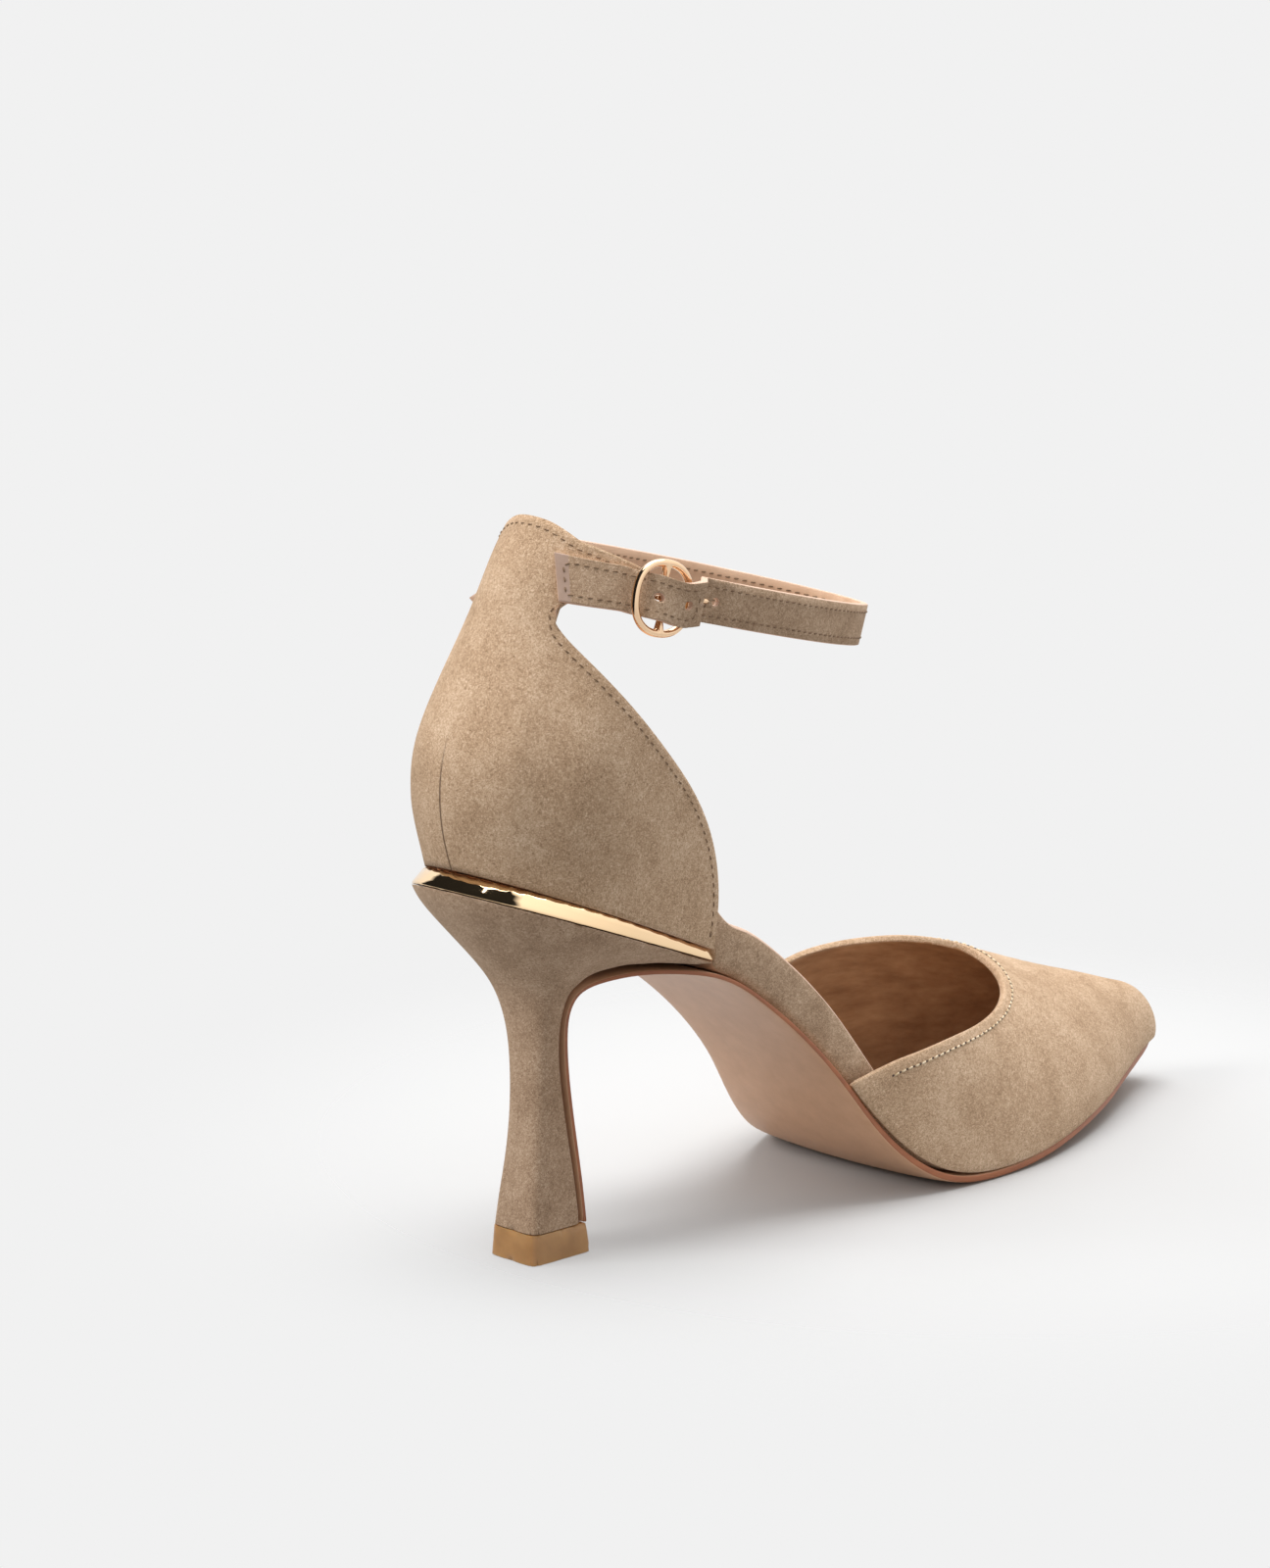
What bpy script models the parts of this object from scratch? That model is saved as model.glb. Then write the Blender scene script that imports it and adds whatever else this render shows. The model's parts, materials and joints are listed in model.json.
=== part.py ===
# Ankle strap pump for the right foot: a pointed vamp and a high counter on a slender
# heel, with an open waist between them and a buckled strap round the ankle.
# The shoe is worked out in millimetres, x from heel to toe, y to the inner side, z up,
# and every mesh is written in metres with its middle over the origin.
import math

import bmesh
import bpy
from mathutils import Vector

# Driving sizes, in millimetres
LENGTH = 240.0
BALL_WIDTH = 69.0
HEEL_HEIGHT = 86.0
BACK_HEIGHT = 161.0
SEAT_WIDTH = 53.0
STRAP_WIDTH = 9.5
STRAP_THICKNESS = 1.5
UPPER_WALL = 1.5
SOLE_THICKNESS = 1.7
BREAST_THICKNESS = 1.1
INSTEP_RISE = 40.37
LIFT_HEIGHT = 6.6
GAP = 0.3

# Points round the pieces: enough for smooth curves, few enough for light solids
SOLE_STEPS = 44
HEEL_ARC_STEPS = 11
HEEL_SIDE_STEPS = 5
VAMP_ROWS = 24
VAMP_STEPS = 18
COUNTER_STEPS = 12
COUNTER_ROWS = 12
STRAP_FINE_STEP = 1.15
STRAP_COARSE_STEP = 5.0

SUEDE = ("Taupe suede", (0.52, 0.37, 0.245), 0.9, 0.0)
SOLE_LEATHER = ("Nude sole leather", (0.62, 0.40, 0.25), 0.45, 0.0)
GOLD = ("Pale gold plate", (0.83, 0.66, 0.42), 0.15, 1.0)
TOP_LIFT = ("Honey rubber", (0.45, 0.26, 0.11), 0.5, 0.0)
ELASTIC = ("Cream elastic", (0.72, 0.62, 0.46), 0.8, 0.0)

# Centre line of the outsole from the foot of the heel breast to the toe.
# Shares: x of the length, z of the heel height, outer and inner edges of half the ball width.
# The first row's height is drawn to the top lift, on which the breast flap stands.
SOLE = (
    # x, z, outer, inner
    (0.1518, 0.080, -0.200, 0.200),
    (0.1494, 0.200, -0.174, 0.174),
    (0.1430, 0.340, -0.155, 0.155),
    (0.1360, 0.480, -0.155, 0.155),
    (0.1325, 0.590, -0.172, 0.172),
    (0.1315, 0.655, -0.225, 0.225),
    (0.1350, 0.706, -0.320, 0.320),
    (0.1540, 0.732, -0.440, 0.440),
    (0.1830, 0.740, -0.535, 0.525),
    (0.2200, 0.728, -0.605, 0.590),
    (0.2560, 0.706, -0.635, 0.605),
    (0.2880, 0.667, -0.637, 0.585),
    (0.3210, 0.605, -0.630, 0.562),
    (0.3520, 0.537, -0.638, 0.548),
    (0.3790, 0.467, -0.660, 0.537),
    (0.4020, 0.398, -0.684, 0.537),
    (0.4215, 0.333, -0.708, 0.548),
    (0.4420, 0.256, -0.742, 0.586),
    (0.4650, 0.175, -0.786, 0.641),
    (0.4920, 0.103, -0.838, 0.712),
    (0.5210, 0.051, -0.884, 0.800),
    (0.5500, 0.0215, -0.913, 0.890),
    (0.5830, 0.0105, -0.928, 0.980),
    (0.6250, 0.0105, -0.933, 1.043),
    (0.6750, 0.0200, -0.907, 1.050),
    (0.7420, 0.0370, -0.800, 0.955),
    (0.8290, 0.0650, -0.591, 0.728),
    (0.8830, 0.0870, -0.417, 0.545),
    (0.9250, 0.1030, -0.287, 0.408),
    (0.9620, 0.1170, -0.168, 0.283),
    (0.9880, 0.1270, -0.070, 0.180),
    (1.0010, 0.1310, 0.020, 0.090),
)

# Side profile and width of the heel block, from the top lift up to the seat.
# Shares: x of the length, z of the heel height, widths of half the seat width.
# The first row's heights are drawn to the top lift.
HEEL = (
    # rear_x, rear_z, front_x, front_z, widest, front_width, widest_at, squareness
    (0.0895, 0.080, 0.1465, 0.080, 0.264, 0.258, 0.40, 5.5),
    (0.0920, 0.165, 0.1450, 0.165, 0.238, 0.230, 0.42, 4.6),
    (0.0970, 0.260, 0.1408, 0.260, 0.214, 0.206, 0.45, 3.6),
    (0.1010, 0.375, 0.1340, 0.375, 0.200, 0.195, 0.48, 3.0),
    (0.1015, 0.490, 0.1275, 0.490, 0.203, 0.196, 0.50, 2.6),
    (0.1000, 0.580, 0.1250, 0.576, 0.228, 0.218, 0.52, 2.4),
    (0.0950, 0.655, 0.1240, 0.645, 0.290, 0.276, 0.52, 2.2),
    (0.0865, 0.708, 0.1265, 0.700, 0.365, 0.340, 0.52, 2.1),
    (0.0730, 0.757, 0.1400, 0.738, 0.485, 0.450, 0.52, 2.0),
    (0.0560, 0.810, 0.1650, 0.757, 0.625, 0.580, 0.52, 2.0),
    (0.0390, 0.863, 0.1980, 0.754, 0.770, 0.700, 0.52, 2.0),
    (0.0230, 0.915, 0.2300, 0.739, 0.890, 0.785, 0.50, 2.0),
    (0.0120, 0.957, 0.2500, 0.728, 0.970, 0.820, 0.50, 2.0),
)

# Round footprint of the top lift. Shares: height of its thickness, x of the length, half
# widths of half the seat width.
TOP_LIFT_ROWS = (
    # height, rear_x, front_x, widest, front_width, widest_at, squareness
    (0.0, 0.0875, 0.1592, 0.272, 0.268, 0.38, 8.0),
    (1.0, 0.0892, 0.1550, 0.264, 0.258, 0.40, 7.0),
)

# Back curve of the counter. Shares: rise of the wall's height over the heel, how far the
# back stands forward and the length of its round back of the length, half width of half
# the seat width.
COUNTER = (
    # rise, back_x, half_width, round_length
    (-0.3309, 0.0242, 0.965, 0.1250),
    (0.0404, 0.0208, 0.985, 0.1250),
    (0.1199, 0.0125, 1.005, 0.1217),
    (0.1864, 0.0088, 1.012, 0.1208),
    (0.2658, 0.0075, 1.012, 0.1208),
    (0.3603, 0.0113, 1.000, 0.1208),
    (0.4676, 0.0242, 0.955, 0.1229),
    (0.6007, 0.0450, 0.880, 0.1292),
    (0.7123, 0.0633, 0.810, 0.1313),
    (0.8390, 0.0817, 0.760, 0.1333),
    (0.9335, 0.0975, 0.735, 0.1333),
    (1.0000, 0.1125, 0.715, 0.1333),
)

# Front edge of the counter in side view, from the notch under the strap to the seat.
# Shares: x of the length, rise of the wall's height over the heel.
COUNTER_FRONT = (
    # x, rise
    (0.0942, 0.7280),
    (0.0971, 0.6933),
    (0.1083, 0.6347),
    (0.1358, 0.5147),
    (0.1783, 0.3573),
    (0.2117, 0.2400),
    (0.2342, 0.1360),
    (0.2492, 0.0267),
    (0.2546, -0.0853),
    (0.2533, -0.1933),
    (0.2475, -0.2480),
)
# Lower edge of the wing in side view, from the same notch; the wing's end closes it
WING_LOWER = ((0.0942, 0.7280), (0.0983, 0.7573), (0.1054, 0.7813), (0.1187, 0.7947))
WING_COLUMNS = (0.05, 0.11, 0.17, 0.25, 0.40, 0.60, 0.80, 1.0)
COUNTER_TOP_SLOPE = 0.70
WING_END_X = 0.1708 * LENGTH
WING_END_Y = 0.755 * SEAT_WIDTH / 2
WING_TUCK = 1.8
COLLAR_RISE = 0.0267
NOTCH_STEPS = 8
COUNTER_FRONT_STEPS = 13
SIDE_TAPER = 0.13
SIDE_TAPER_LENGTH = 0.125 * LENGTH

# Last over the forepart. Shares: x of the length, height of the crest over the sole of the
# instep rise, crest's place across the shoe of half the ball width; and how square the
# outer and inner sides are.
VAMP = (
    # x, crest, crest_y, outer_power, inner_power
    (0.4083, 1.4049, 0.087, 2.4, 2.5),
    (0.5000, 1.4770, 0.145, 2.3, 2.5),
    (0.5833, 1.3685, 0.203, 2.15, 2.4),
    (0.6458, 1.2130, 0.246, 2.0, 2.3),
    (0.7167, 1.0419, 0.261, 1.9, 2.2),
    (0.7833, 0.8587, 0.238, 1.9, 2.1),
    (0.8458, 0.6887, 0.203, 1.9, 2.0),
    (0.9083, 0.5257, 0.157, 1.9, 2.0),
    (0.9583, 0.3913, 0.104, 1.9, 2.0),
    (1.0042, 0.2949, 0.052, 2.0, 2.0),
)

# Top line of the vamp in side view, outer side first, crossing the crest at the throat.
# Shares: x of the length, height over the sole of the instep rise.
TOPLINE_OUTER = (
    # x, height
    (0.4250, 0.0),
    (0.4358, 0.0935),
    (0.4583, 0.3374),
    (0.4917, 0.5774),
    (0.5417, 0.7710),
    (0.5958, 0.8260),
    (0.6458, 0.8390),
    (0.6833, 0.8586),
    (0.7125, 0.9030),
    (0.7292, 0.9729),
)
TOPLINE_INNER = (
    # x, height
    (0.7271, 1.0385),
    (0.7042, 1.0660),
    (0.6667, 1.0896),
    (0.6167, 1.0925),
    (0.5625, 1.0411),
    (0.5042, 0.8352),
    (0.4500, 0.4222),
    (0.4229, 0.1206),
    (0.4146, 0.0),
)
THROAT_X = 0.7325 * LENGTH
THROAT_ANGLE = 88.0

# Route of the strap's middle seen from above, from the seam on the inner side round the
# front of the ankle to the squared free end over the outer side of the counter.
# Shares: x of the length, y of half the seat width.
STRAP_ROUTE = (
    # x, y
    (0.2083, 0.815), (0.2375, 0.879), (0.2708, 0.932), (0.3167, 0.974), (0.3667, 0.966),
    (0.4208, 0.875), (0.4688, 0.687), (0.5017, 0.423), (0.5167, 0.113), (0.5121, -0.196),
    (0.4867, -0.475), (0.4417, -0.702), (0.3917, -0.853), (0.3333, -0.928),
    (0.2792, -0.928), (0.2333, -0.875),
)
STRAP_TAIL_ANGLES = (80.0, 70.0, 60.0, 50.0, 41.0, 33.0)
BUCKLE_X = 0.1846 * LENGTH
BUCKLE_LENGTH = 16.9
BUCKLE_HEIGHT = 16.5
BUCKLE_WIRE = 1.5
BUCKLE_DROP = 0.9
RING_LIFT = 0.5
RING_TILT = 8.0
RING_SQUARENESS = 0.86
BAR_RADIUS = 0.58
PIN_RADIUS = 0.45
HOLE_RADIUS = 1.0
PIN_HOLE_HALF = 1.4
PIN_HOLE_AHEAD = 9.8
ELASTIC_THICKNESS = 0.8
ELASTIC_HALF = 3.4
BAR_DEPTH = 1.4

COLLECTION_NAME = "Ankle strap pump"


def start_scene():
    for item in list(bpy.data.objects):
        bpy.data.objects.remove(item, do_unlink=True)
    collection = bpy.data.collections.new(COLLECTION_NAME)
    bpy.context.scene.collection.children.link(collection)
    return collection


def principled(recipe):
    name, colour, roughness, metallic = recipe
    material = bpy.data.materials.new(name)
    material.use_nodes = True
    shader = material.node_tree.nodes["Principled BSDF"]
    shader.inputs["Base Color"].default_value = (*colour, 1.0)
    shader.inputs["Roughness"].default_value = roughness
    shader.inputs["Metallic"].default_value = metallic
    return material


def smooth_read(rows, column, position):
    """Value of a column at a place in the first column, on a smooth curve through the rows."""
    last = len(rows) - 1
    if position <= rows[0][0]:
        return rows[0][column]
    if position >= rows[last][0]:
        return rows[last][column]
    index = max(i for i in range(last) if rows[i][0] <= position)

    def slope(i):
        low = max(i - 1, 0)
        high = min(i + 1, last)
        return (rows[high][column] - rows[low][column]) / (rows[high][0] - rows[low][0])

    span = rows[index + 1][0] - rows[index][0]
    t = (position - rows[index][0]) / span
    start, end = rows[index][column], rows[index + 1][column]
    return ((2 * t**3 - 3 * t**2 + 1) * start + (t**3 - 2 * t**2 + t) * span * slope(index)
            + (3 * t**2 - 2 * t**3) * end + (t**3 - t**2) * span * slope(index + 1))


def spline(points, per_span=8):
    """Dense points on a Catmull-Rom curve through the given points."""
    dense = []
    for i in range(len(points) - 1):
        before = points[max(i - 1, 0)]
        start, end = points[i], points[i + 1]
        after = points[min(i + 2, len(points) - 1)]
        for k in range(per_span):
            t = k / per_span
            dense.append(tuple(
                0.5 * (2 * b + (c - a) * t + (2 * a - 5 * b + 4 * c - d) * t**2
                       + (3 * b - a - 3 * c + d) * t**3)
                for a, b, c, d in zip(before, start, end, after)))
    dense.append(tuple(points[-1]))
    return dense


def running_lengths(points):
    lengths = [0.0]
    for a, b in zip(points, points[1:]):
        lengths.append(lengths[-1] + math.dist(a, b))
    return lengths


def at_length(points, lengths, wanted):
    for i in range(len(points) - 1):
        if wanted <= lengths[i + 1] or i == len(points) - 2:
            span = lengths[i + 1] - lengths[i]
            t = (wanted - lengths[i]) / span if span else 0.0
            return tuple(a + (b - a) * t for a, b in zip(points[i], points[i + 1]))


def evenly(points, count):
    """The same curve cut into count equal steps."""
    lengths = running_lengths(points)
    return [at_length(points, lengths, lengths[-1] * i / count) for i in range(count + 1)]


def add_object(collection, name, mesh_builder, recipe):
    mesh = bpy.data.meshes.new(name)
    mesh_builder.to_mesh(mesh)
    mesh_builder.free()
    item = bpy.data.objects.new(name, mesh)
    item.data.materials.append(principled(recipe))
    collection.objects.link(item)
    return item


def in_metres(point):
    return Vector(point) * 0.001


def loft(collection, name, loops, recipe):
    """Closed solid through closed loops of the same number of points, capped at both ends."""
    builder = bmesh.new()
    rings = [[builder.verts.new(in_metres(p)) for p in loop] for loop in loops]
    count = len(loops[0])
    for low, high in zip(rings, rings[1:]):
        for i in range(count):
            j = (i + 1) % count
            builder.faces.new((low[i], low[j], high[j], high[i]))
    builder.faces.new(list(reversed(rings[0])))
    builder.faces.new(rings[-1])
    finish_builder(builder)
    return add_object(collection, name, builder, recipe)


def finish_builder(builder):
    bmesh.ops.remove_doubles(builder, verts=builder.verts, dist=1e-6)
    bmesh.ops.dissolve_degenerate(builder, edges=builder.edges, dist=1e-6)
    bmesh.ops.recalc_face_normals(builder, faces=builder.faces)


def sheet(rows, skipped=(), moved=None):
    """Open surface through rows of points. Skipped squares leave holes."""
    builder = bmesh.new()
    moved = moved or {}
    grid = []
    for i, row in enumerate(rows):
        grid.append([builder.verts.new(in_metres(moved.get((i, j), p)))
                     for j, p in enumerate(row)])
    for i in range(len(rows) - 1):
        for j in range(len(rows[0]) - 1):
            if (i, j) not in skipped:
                corners = (grid[i][j], grid[i + 1][j], grid[i + 1][j + 1], grid[i][j + 1])
                builder.faces.new(corners)
    loose = [v for v in builder.verts if not v.link_faces]
    bmesh.ops.delete(builder, geom=loose, context="VERTS")
    bmesh.ops.remove_doubles(builder, verts=builder.verts, dist=1e-6)
    bmesh.ops.dissolve_degenerate(builder, edges=builder.edges, dist=1e-6)
    return builder


def thicken(item, thickness, offset):
    solidify = item.modifiers.new("Wall", "SOLIDIFY")
    solidify.thickness = thickness * 0.001
    solidify.offset = offset
    solidify.use_even_offset = True
    return item


# Sole, insole and heel


SOLE_PARED_SHARE = 0.36
SOLE_PARING_LENGTH = 0.3
SOLE_BELLY = (
    # x as a share of the length, how far the middle of the underside stands below its edges
    (0.4083, 0.0),
    (0.4667, 0.6),
    (0.5083, 1.3),
    (0.5417, 1.4),
    (0.5833, 0.4),
    (0.6083, 0.0),
)


def on_top_lift(rows, columns):
    """The same rows with the first one's heights, shares of the heel height, on the top lift."""
    foot = list(rows[0])
    for column in columns:
        foot[column] = (LIFT_HEIGHT + GAP) / HEEL_HEIGHT
    return (tuple(foot),) + tuple(rows[1:])


SOLE_ROWS = [(i / (len(SOLE) - 1), *row) for i, row in enumerate(on_top_lift(SOLE, (1,)))]


def sole_row(share):
    """Point of the sole's centre line at a share of its rows, as (x, z, outer, inner)."""
    x = smooth_read(SOLE_ROWS, 1, share) * LENGTH
    z = smooth_read(SOLE_ROWS, 2, share) * HEEL_HEIGHT
    outer = smooth_read(SOLE_ROWS, 3, share) * BALL_WIDTH / 2
    inner = smooth_read(SOLE_ROWS, 4, share) * BALL_WIDTH / 2
    return x, z, outer, inner


def sole_direction(share):
    step = 0.004
    x0, z0, _, _ = sole_row(max(share - step, 0.0))
    x1, z1, _, _ = sole_row(min(share + step, 1.0))
    return Vector((x1 - x0, 0.0, z1 - z0)).normalized()


def sole_frame(share):
    """Centre point, upward normal and edges of the sole at a share of its rows."""
    x, z, outer, inner = sole_row(share)
    along = sole_direction(share)
    normal = Vector((-along.z, 0.0, along.x))
    return Vector((x, 0.0, z)), normal, outer, inner


def share_at_x(wanted):
    """Share of the sole's rows where it passes x, forward of the heel."""
    low, high = 9.0 / (len(SOLE) - 1), 1.0
    for _ in range(40):
        middle = (low + high) / 2
        if sole_row(middle)[0] < wanted:
            low = middle
        else:
            high = middle
    return low


def sole_top(x):
    """Height of the outsole's upper face at x, forward of the heel."""
    share = share_at_x(x)
    centre, normal, _, _ = sole_frame(share)
    return centre.z + (sole_thickness(share) - SOLE_THICKNESS / 2) / max(normal.z, 0.3)


def sole_edges(x):
    _, _, outer, inner = sole_row(share_at_x(x))
    return outer, inner


def sole_thickness(share):
    """The leather is pared thin down the heel breast and full under the ball."""
    blend = min(max((share - SOLE_PARED_SHARE) / SOLE_PARING_LENGTH, 0.0), 1.0)
    return BREAST_THICKNESS + (SOLE_THICKNESS - BREAST_THICKNESS) * blend


def outsole(collection):
    across = (0.0, 0.04, 0.2, 0.5, 0.8, 0.96, 1.0)
    edge_drop = 0.3
    loops = []
    for i in range(SOLE_STEPS + 1):
        share = i / SOLE_STEPS
        centre, normal, outer, inner = sole_frame(share)
        thick = sole_thickness(share)
        belly = smooth_read(SOLE_BELLY, 1, centre.x / LENGTH)
        top, bottom = [], []
        for k, f in enumerate(across):
            y = outer + (inner - outer) * f
            soft = edge_drop if k in (0, len(across) - 1) else 0.0
            sag = belly * (1 - (2 * f - 1) ** 2)
            high = centre + normal * (thick - SOLE_THICKNESS / 2 - soft * 0.4)
            low = centre - normal * (SOLE_THICKNESS / 2 - soft + sag)
            top.append((high.x, y, high.z))
            bottom.append((low.x, y, max(low.z, 0.0)))
        loops.append(top + list(reversed(bottom)))
    return loft(collection, "outsole", loops, SOLE_LEATHER)


# Fall of the seat over the whole length, as a share of the heel height
SEAT_FALL = 1.0158
SEAT_START = 0.9988
SEAT_SLOPE = SEAT_FALL * HEEL_HEIGHT / LENGTH


def seat_line(x):
    """Height of the heel seat, the lower edge of the gold plate."""
    return SEAT_START * HEEL_HEIGHT - SEAT_SLOPE * x


PLATE_REAR = 4.6
PLATE_FRONT = 2.3
PLATE_BACK_X = 0.0067 * LENGTH
PLATE_END_X = 0.2525 * LENGTH
PLATE_LIP = 0.5
PLATE_EDGE = 0.45
PLATE_EDGE_INSET = 0.1
PLATE_TOP_INSET = 3.5


def plate_top(x):
    return seat_line(x) + PLATE_REAR + (PLATE_FRONT - PLATE_REAR) * x / PLATE_END_X


def heel_outline(rear, front, widest, front_width, widest_at, power):
    """Plan of the heel as (x share, y) points: a round back, tapering sides, a flat front."""
    side = []
    for i in range(HEEL_ARC_STEPS + 1):
        angle = math.pi / 2 * i / HEEL_ARC_STEPS
        across = math.sin(angle) ** (2 / power)
        along = 1 - math.cos(angle) ** (2 / power)
        side.append((widest_at * along, widest * across))
    for i in range(1, HEEL_SIDE_STEPS + 1):
        t = i / HEEL_SIDE_STEPS
        y = widest + (front_width - widest) * t ** 1.6
        side.append((widest_at + (1 - widest_at) * t, y))
    outline = [(f, -y) for f, y in reversed(side)] + side[1:]
    return [(rear + (front - rear) * f, y, f) for f, y in outline]


def heel_block(collection):
    loops = []
    half_seat = SEAT_WIDTH / 2
    rows = on_top_lift(HEEL, (1, 3))
    for rear_x, rear_z, front_x, front_z, widest, front_width, at, power in rows:
        outline = heel_outline(rear_x * LENGTH, front_x * LENGTH, widest * half_seat,
                               front_width * half_seat, at, power)
        loops.append([(x, y, (rear_z + (front_z - rear_z) * f) * HEEL_HEIGHT)
                      for x, y, f in outline])
    seat = plate_outline(0.0)
    loops.append([(x, y, seat_line(x) - GAP) for x, y in seat])
    return loft(collection, "heel", loops, SUEDE)


def plate_outline(inset):
    """Plan of the seat: inset draws it in at the back, less at the sides, not at the front."""
    rear = PLATE_BACK_X + inset
    front = PLATE_END_X + PLATE_LIP - inset * 0.4
    outline = heel_outline(rear, front, SEAT_WIDTH / 2 - inset * 0.24,
                           SEAT_WIDTH / 2 * 0.855 - inset * 0.12, 0.5, 2.0)
    return [(x, y) for x, y, f in outline]


def gold_plate(collection):
    low = [(x, y, seat_line(x)) for x, y in plate_outline(0.0)]
    edge = [(x, y, seat_line(x) + PLATE_EDGE) for x, y in plate_outline(PLATE_EDGE_INSET)]
    high = [(x, y, plate_top(x)) for x, y in plate_outline(PLATE_TOP_INSET)]
    return loft(collection, "seat_plate", [low, edge, high], GOLD)


def top_lift(collection):
    half_seat = SEAT_WIDTH / 2
    loops = []
    for height, rear, front, widest, front_width, at, power in TOP_LIFT_ROWS:
        outline = heel_outline(rear * LENGTH, front * LENGTH, widest * half_seat,
                               front_width * half_seat, at, power)
        loops.append([(x, y, height * LIFT_HEIGHT) for x, y, f in outline])
    return loft(collection, "top_lift", loops, TOP_LIFT)


INSOLE_THICKNESS = 2.6
RIM_HEIGHT = 10.6
COUNTER_END_X = 0.25375 * LENGTH
VAMP_START_X = 0.4121 * LENGTH
TUCK_IN_LENGTH = 12.0
RIM_SHARES = (
    # x as a share of the length, rim height over the insole's underside, depth of the
    # hollow in its upper face, both as shares of the rim height
    (0.0208, 0.26, 0.0),
    (0.2083, 0.34, 0.05),
    (0.2583, 1.00, 0.36),
    (0.3125, 1.00, 0.42),
    (0.3750, 0.92, 0.38),
    (0.4250, 0.84, 0.34),
    (0.4667, 0.72, 0.28),
    (0.5208, 0.36, 0.08),
    (0.5700, 0.26, 0.02),
    (1.0042, 0.20, 0.0),
)
# Stations of the insole as shares of the length: on the seat, then forward of the counter
INSOLE_SEAT = (0.0283, 0.0342, 0.0458, 0.0667, 0.100, 0.1417, 0.1875, 0.2292)
INSOLE_FORE = (0.275, 0.2958, 0.3208, 0.3458, 0.3708, 0.3896, 0.4033, 0.4121, 0.4313, 0.450,
               0.4708, 0.4958, 0.525, 0.5583, 0.600, 0.6458, 0.700, 0.7583, 0.8167, 0.8708,
               0.9167, 0.9542, 0.9792)
SEAT_END_STEP = 0.5
FORE_START_STEP = 1.3


def insole_sections():
    """Sections of the insole: flat on the seat, cupped with high rims at the open waist."""
    sections = []
    seat_x = [share * LENGTH for share in INSOLE_SEAT] + [COUNTER_END_X + SEAT_END_STEP]
    for x in seat_x:
        width = counter_half_width(x, plate_top(x) + GAP + 1.0, UPPER_WALL + GAP)
        bottom = Vector((x, 0.0, plate_top(x) + GAP))
        sections.append((x, bottom, Vector((SEAT_SLOPE, 0.0, 1.0)).normalized(), -width, width))
    fore_x = [COUNTER_END_X + FORE_START_STEP] + [share * LENGTH for share in INSOLE_FORE]
    for x in fore_x:
        share = share_at_x(x)
        centre, normal, outer, inner = sole_frame(share)
        inside = min(max((x - VAMP_START_X) / TUCK_IN_LENGTH + 1.0, 0.0), 1.0)
        inset = 0.2 + (UPPER_WALL + GAP - 0.2) * inside
        bottom = centre + normal * (sole_thickness(share) - SOLE_THICKNESS / 2 + GAP)
        sections.append((x, bottom, normal, outer + inset, inner - inset))
    return sections


def insole(collection):
    top_shares = (1.0, 0.93, 0.8, 0.5, 0.2, 0.07, 0.0)
    loops = []
    for x, bottom, normal, outer, inner in insole_sections():
        rim = RIM_HEIGHT * smooth_read(RIM_SHARES, 1, x / LENGTH)
        hollow = RIM_HEIGHT * smooth_read(RIM_SHARES, 2, x / LENGTH)
        fall = min(0.6, rim * 0.2)
        if x < COUNTER_END_X + (SEAT_END_STEP + FORE_START_STEP) / 2:
            normal = Vector((0.0, 0.0, 1.0))
            rim = max(rim, INSOLE_THICKNESS)
        loop = [(bottom.x, outer + 0.3, bottom.z), (bottom.x, inner - 0.3, bottom.z)]
        shoulder = bottom + normal * (rim - fall)
        loop.append((shoulder.x, inner, shoulder.z))
        for f in top_shares:
            y = outer + (inner - outer) * (0.03 + 0.94 * f)
            dip = hollow * math.sin(math.pi * f) ** 0.7 if 0 < f < 1 else 0.0
            point = bottom + normal * (rim - dip)
            loop.append((point.x, y, point.z))
        loop.append((shoulder.x, outer, shoulder.z))
        loops.append(loop)
    return loft(collection, "insole", loops, SUEDE)


# Counter with its two wings


WALL_RISE = BACK_HEIGHT - HEEL_HEIGHT


def wall_height(rise):
    """Height over the floor at a share of the counter's rise over the heel."""
    return HEEL_HEIGHT + rise * WALL_RISE


def in_side_view(rows):
    """Rows of shares as x and height over the floor."""
    return [(x * LENGTH, wall_height(rise)) for x, rise in rows]


def counter_row(z, column):
    """Back x, half width or round length of the counter at a height over the floor."""
    unit = SEAT_WIDTH / 2 if column == 2 else LENGTH
    return smooth_read(COUNTER, column, (z - HEEL_HEIGHT) / WALL_RISE) * unit


def counter_half_width(x, z, inset=0.0):
    """Half width of the counter's wall at x and height z, inset towards the foot."""
    back = counter_row(z, 1) + inset
    widest = counter_row(z, 2) - inset
    round_length = counter_row(z, 3) - inset
    ahead = max(x - back, 0.0)
    if ahead < round_length:
        return widest * math.sqrt(max(1 - (1 - ahead / round_length) ** 2, 0.0))
    return widest * (1 - SIDE_TAPER * ((ahead - round_length) / SIDE_TAPER_LENGTH) ** 1.8)


def counter_angle_point(angle, z):
    """Point on the round back at an angle from the centre back, positive to the inner side."""
    back = counter_row(z, 1)
    x = back + counter_row(z, 3) * (1 - math.cos(angle))
    return x, counter_row(z, 2) * math.sin(angle)


def counter_top(x):
    return BACK_HEIGHT - COUNTER_TOP_SLOPE * (x - counter_row(BACK_HEIGHT, 1))


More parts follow.
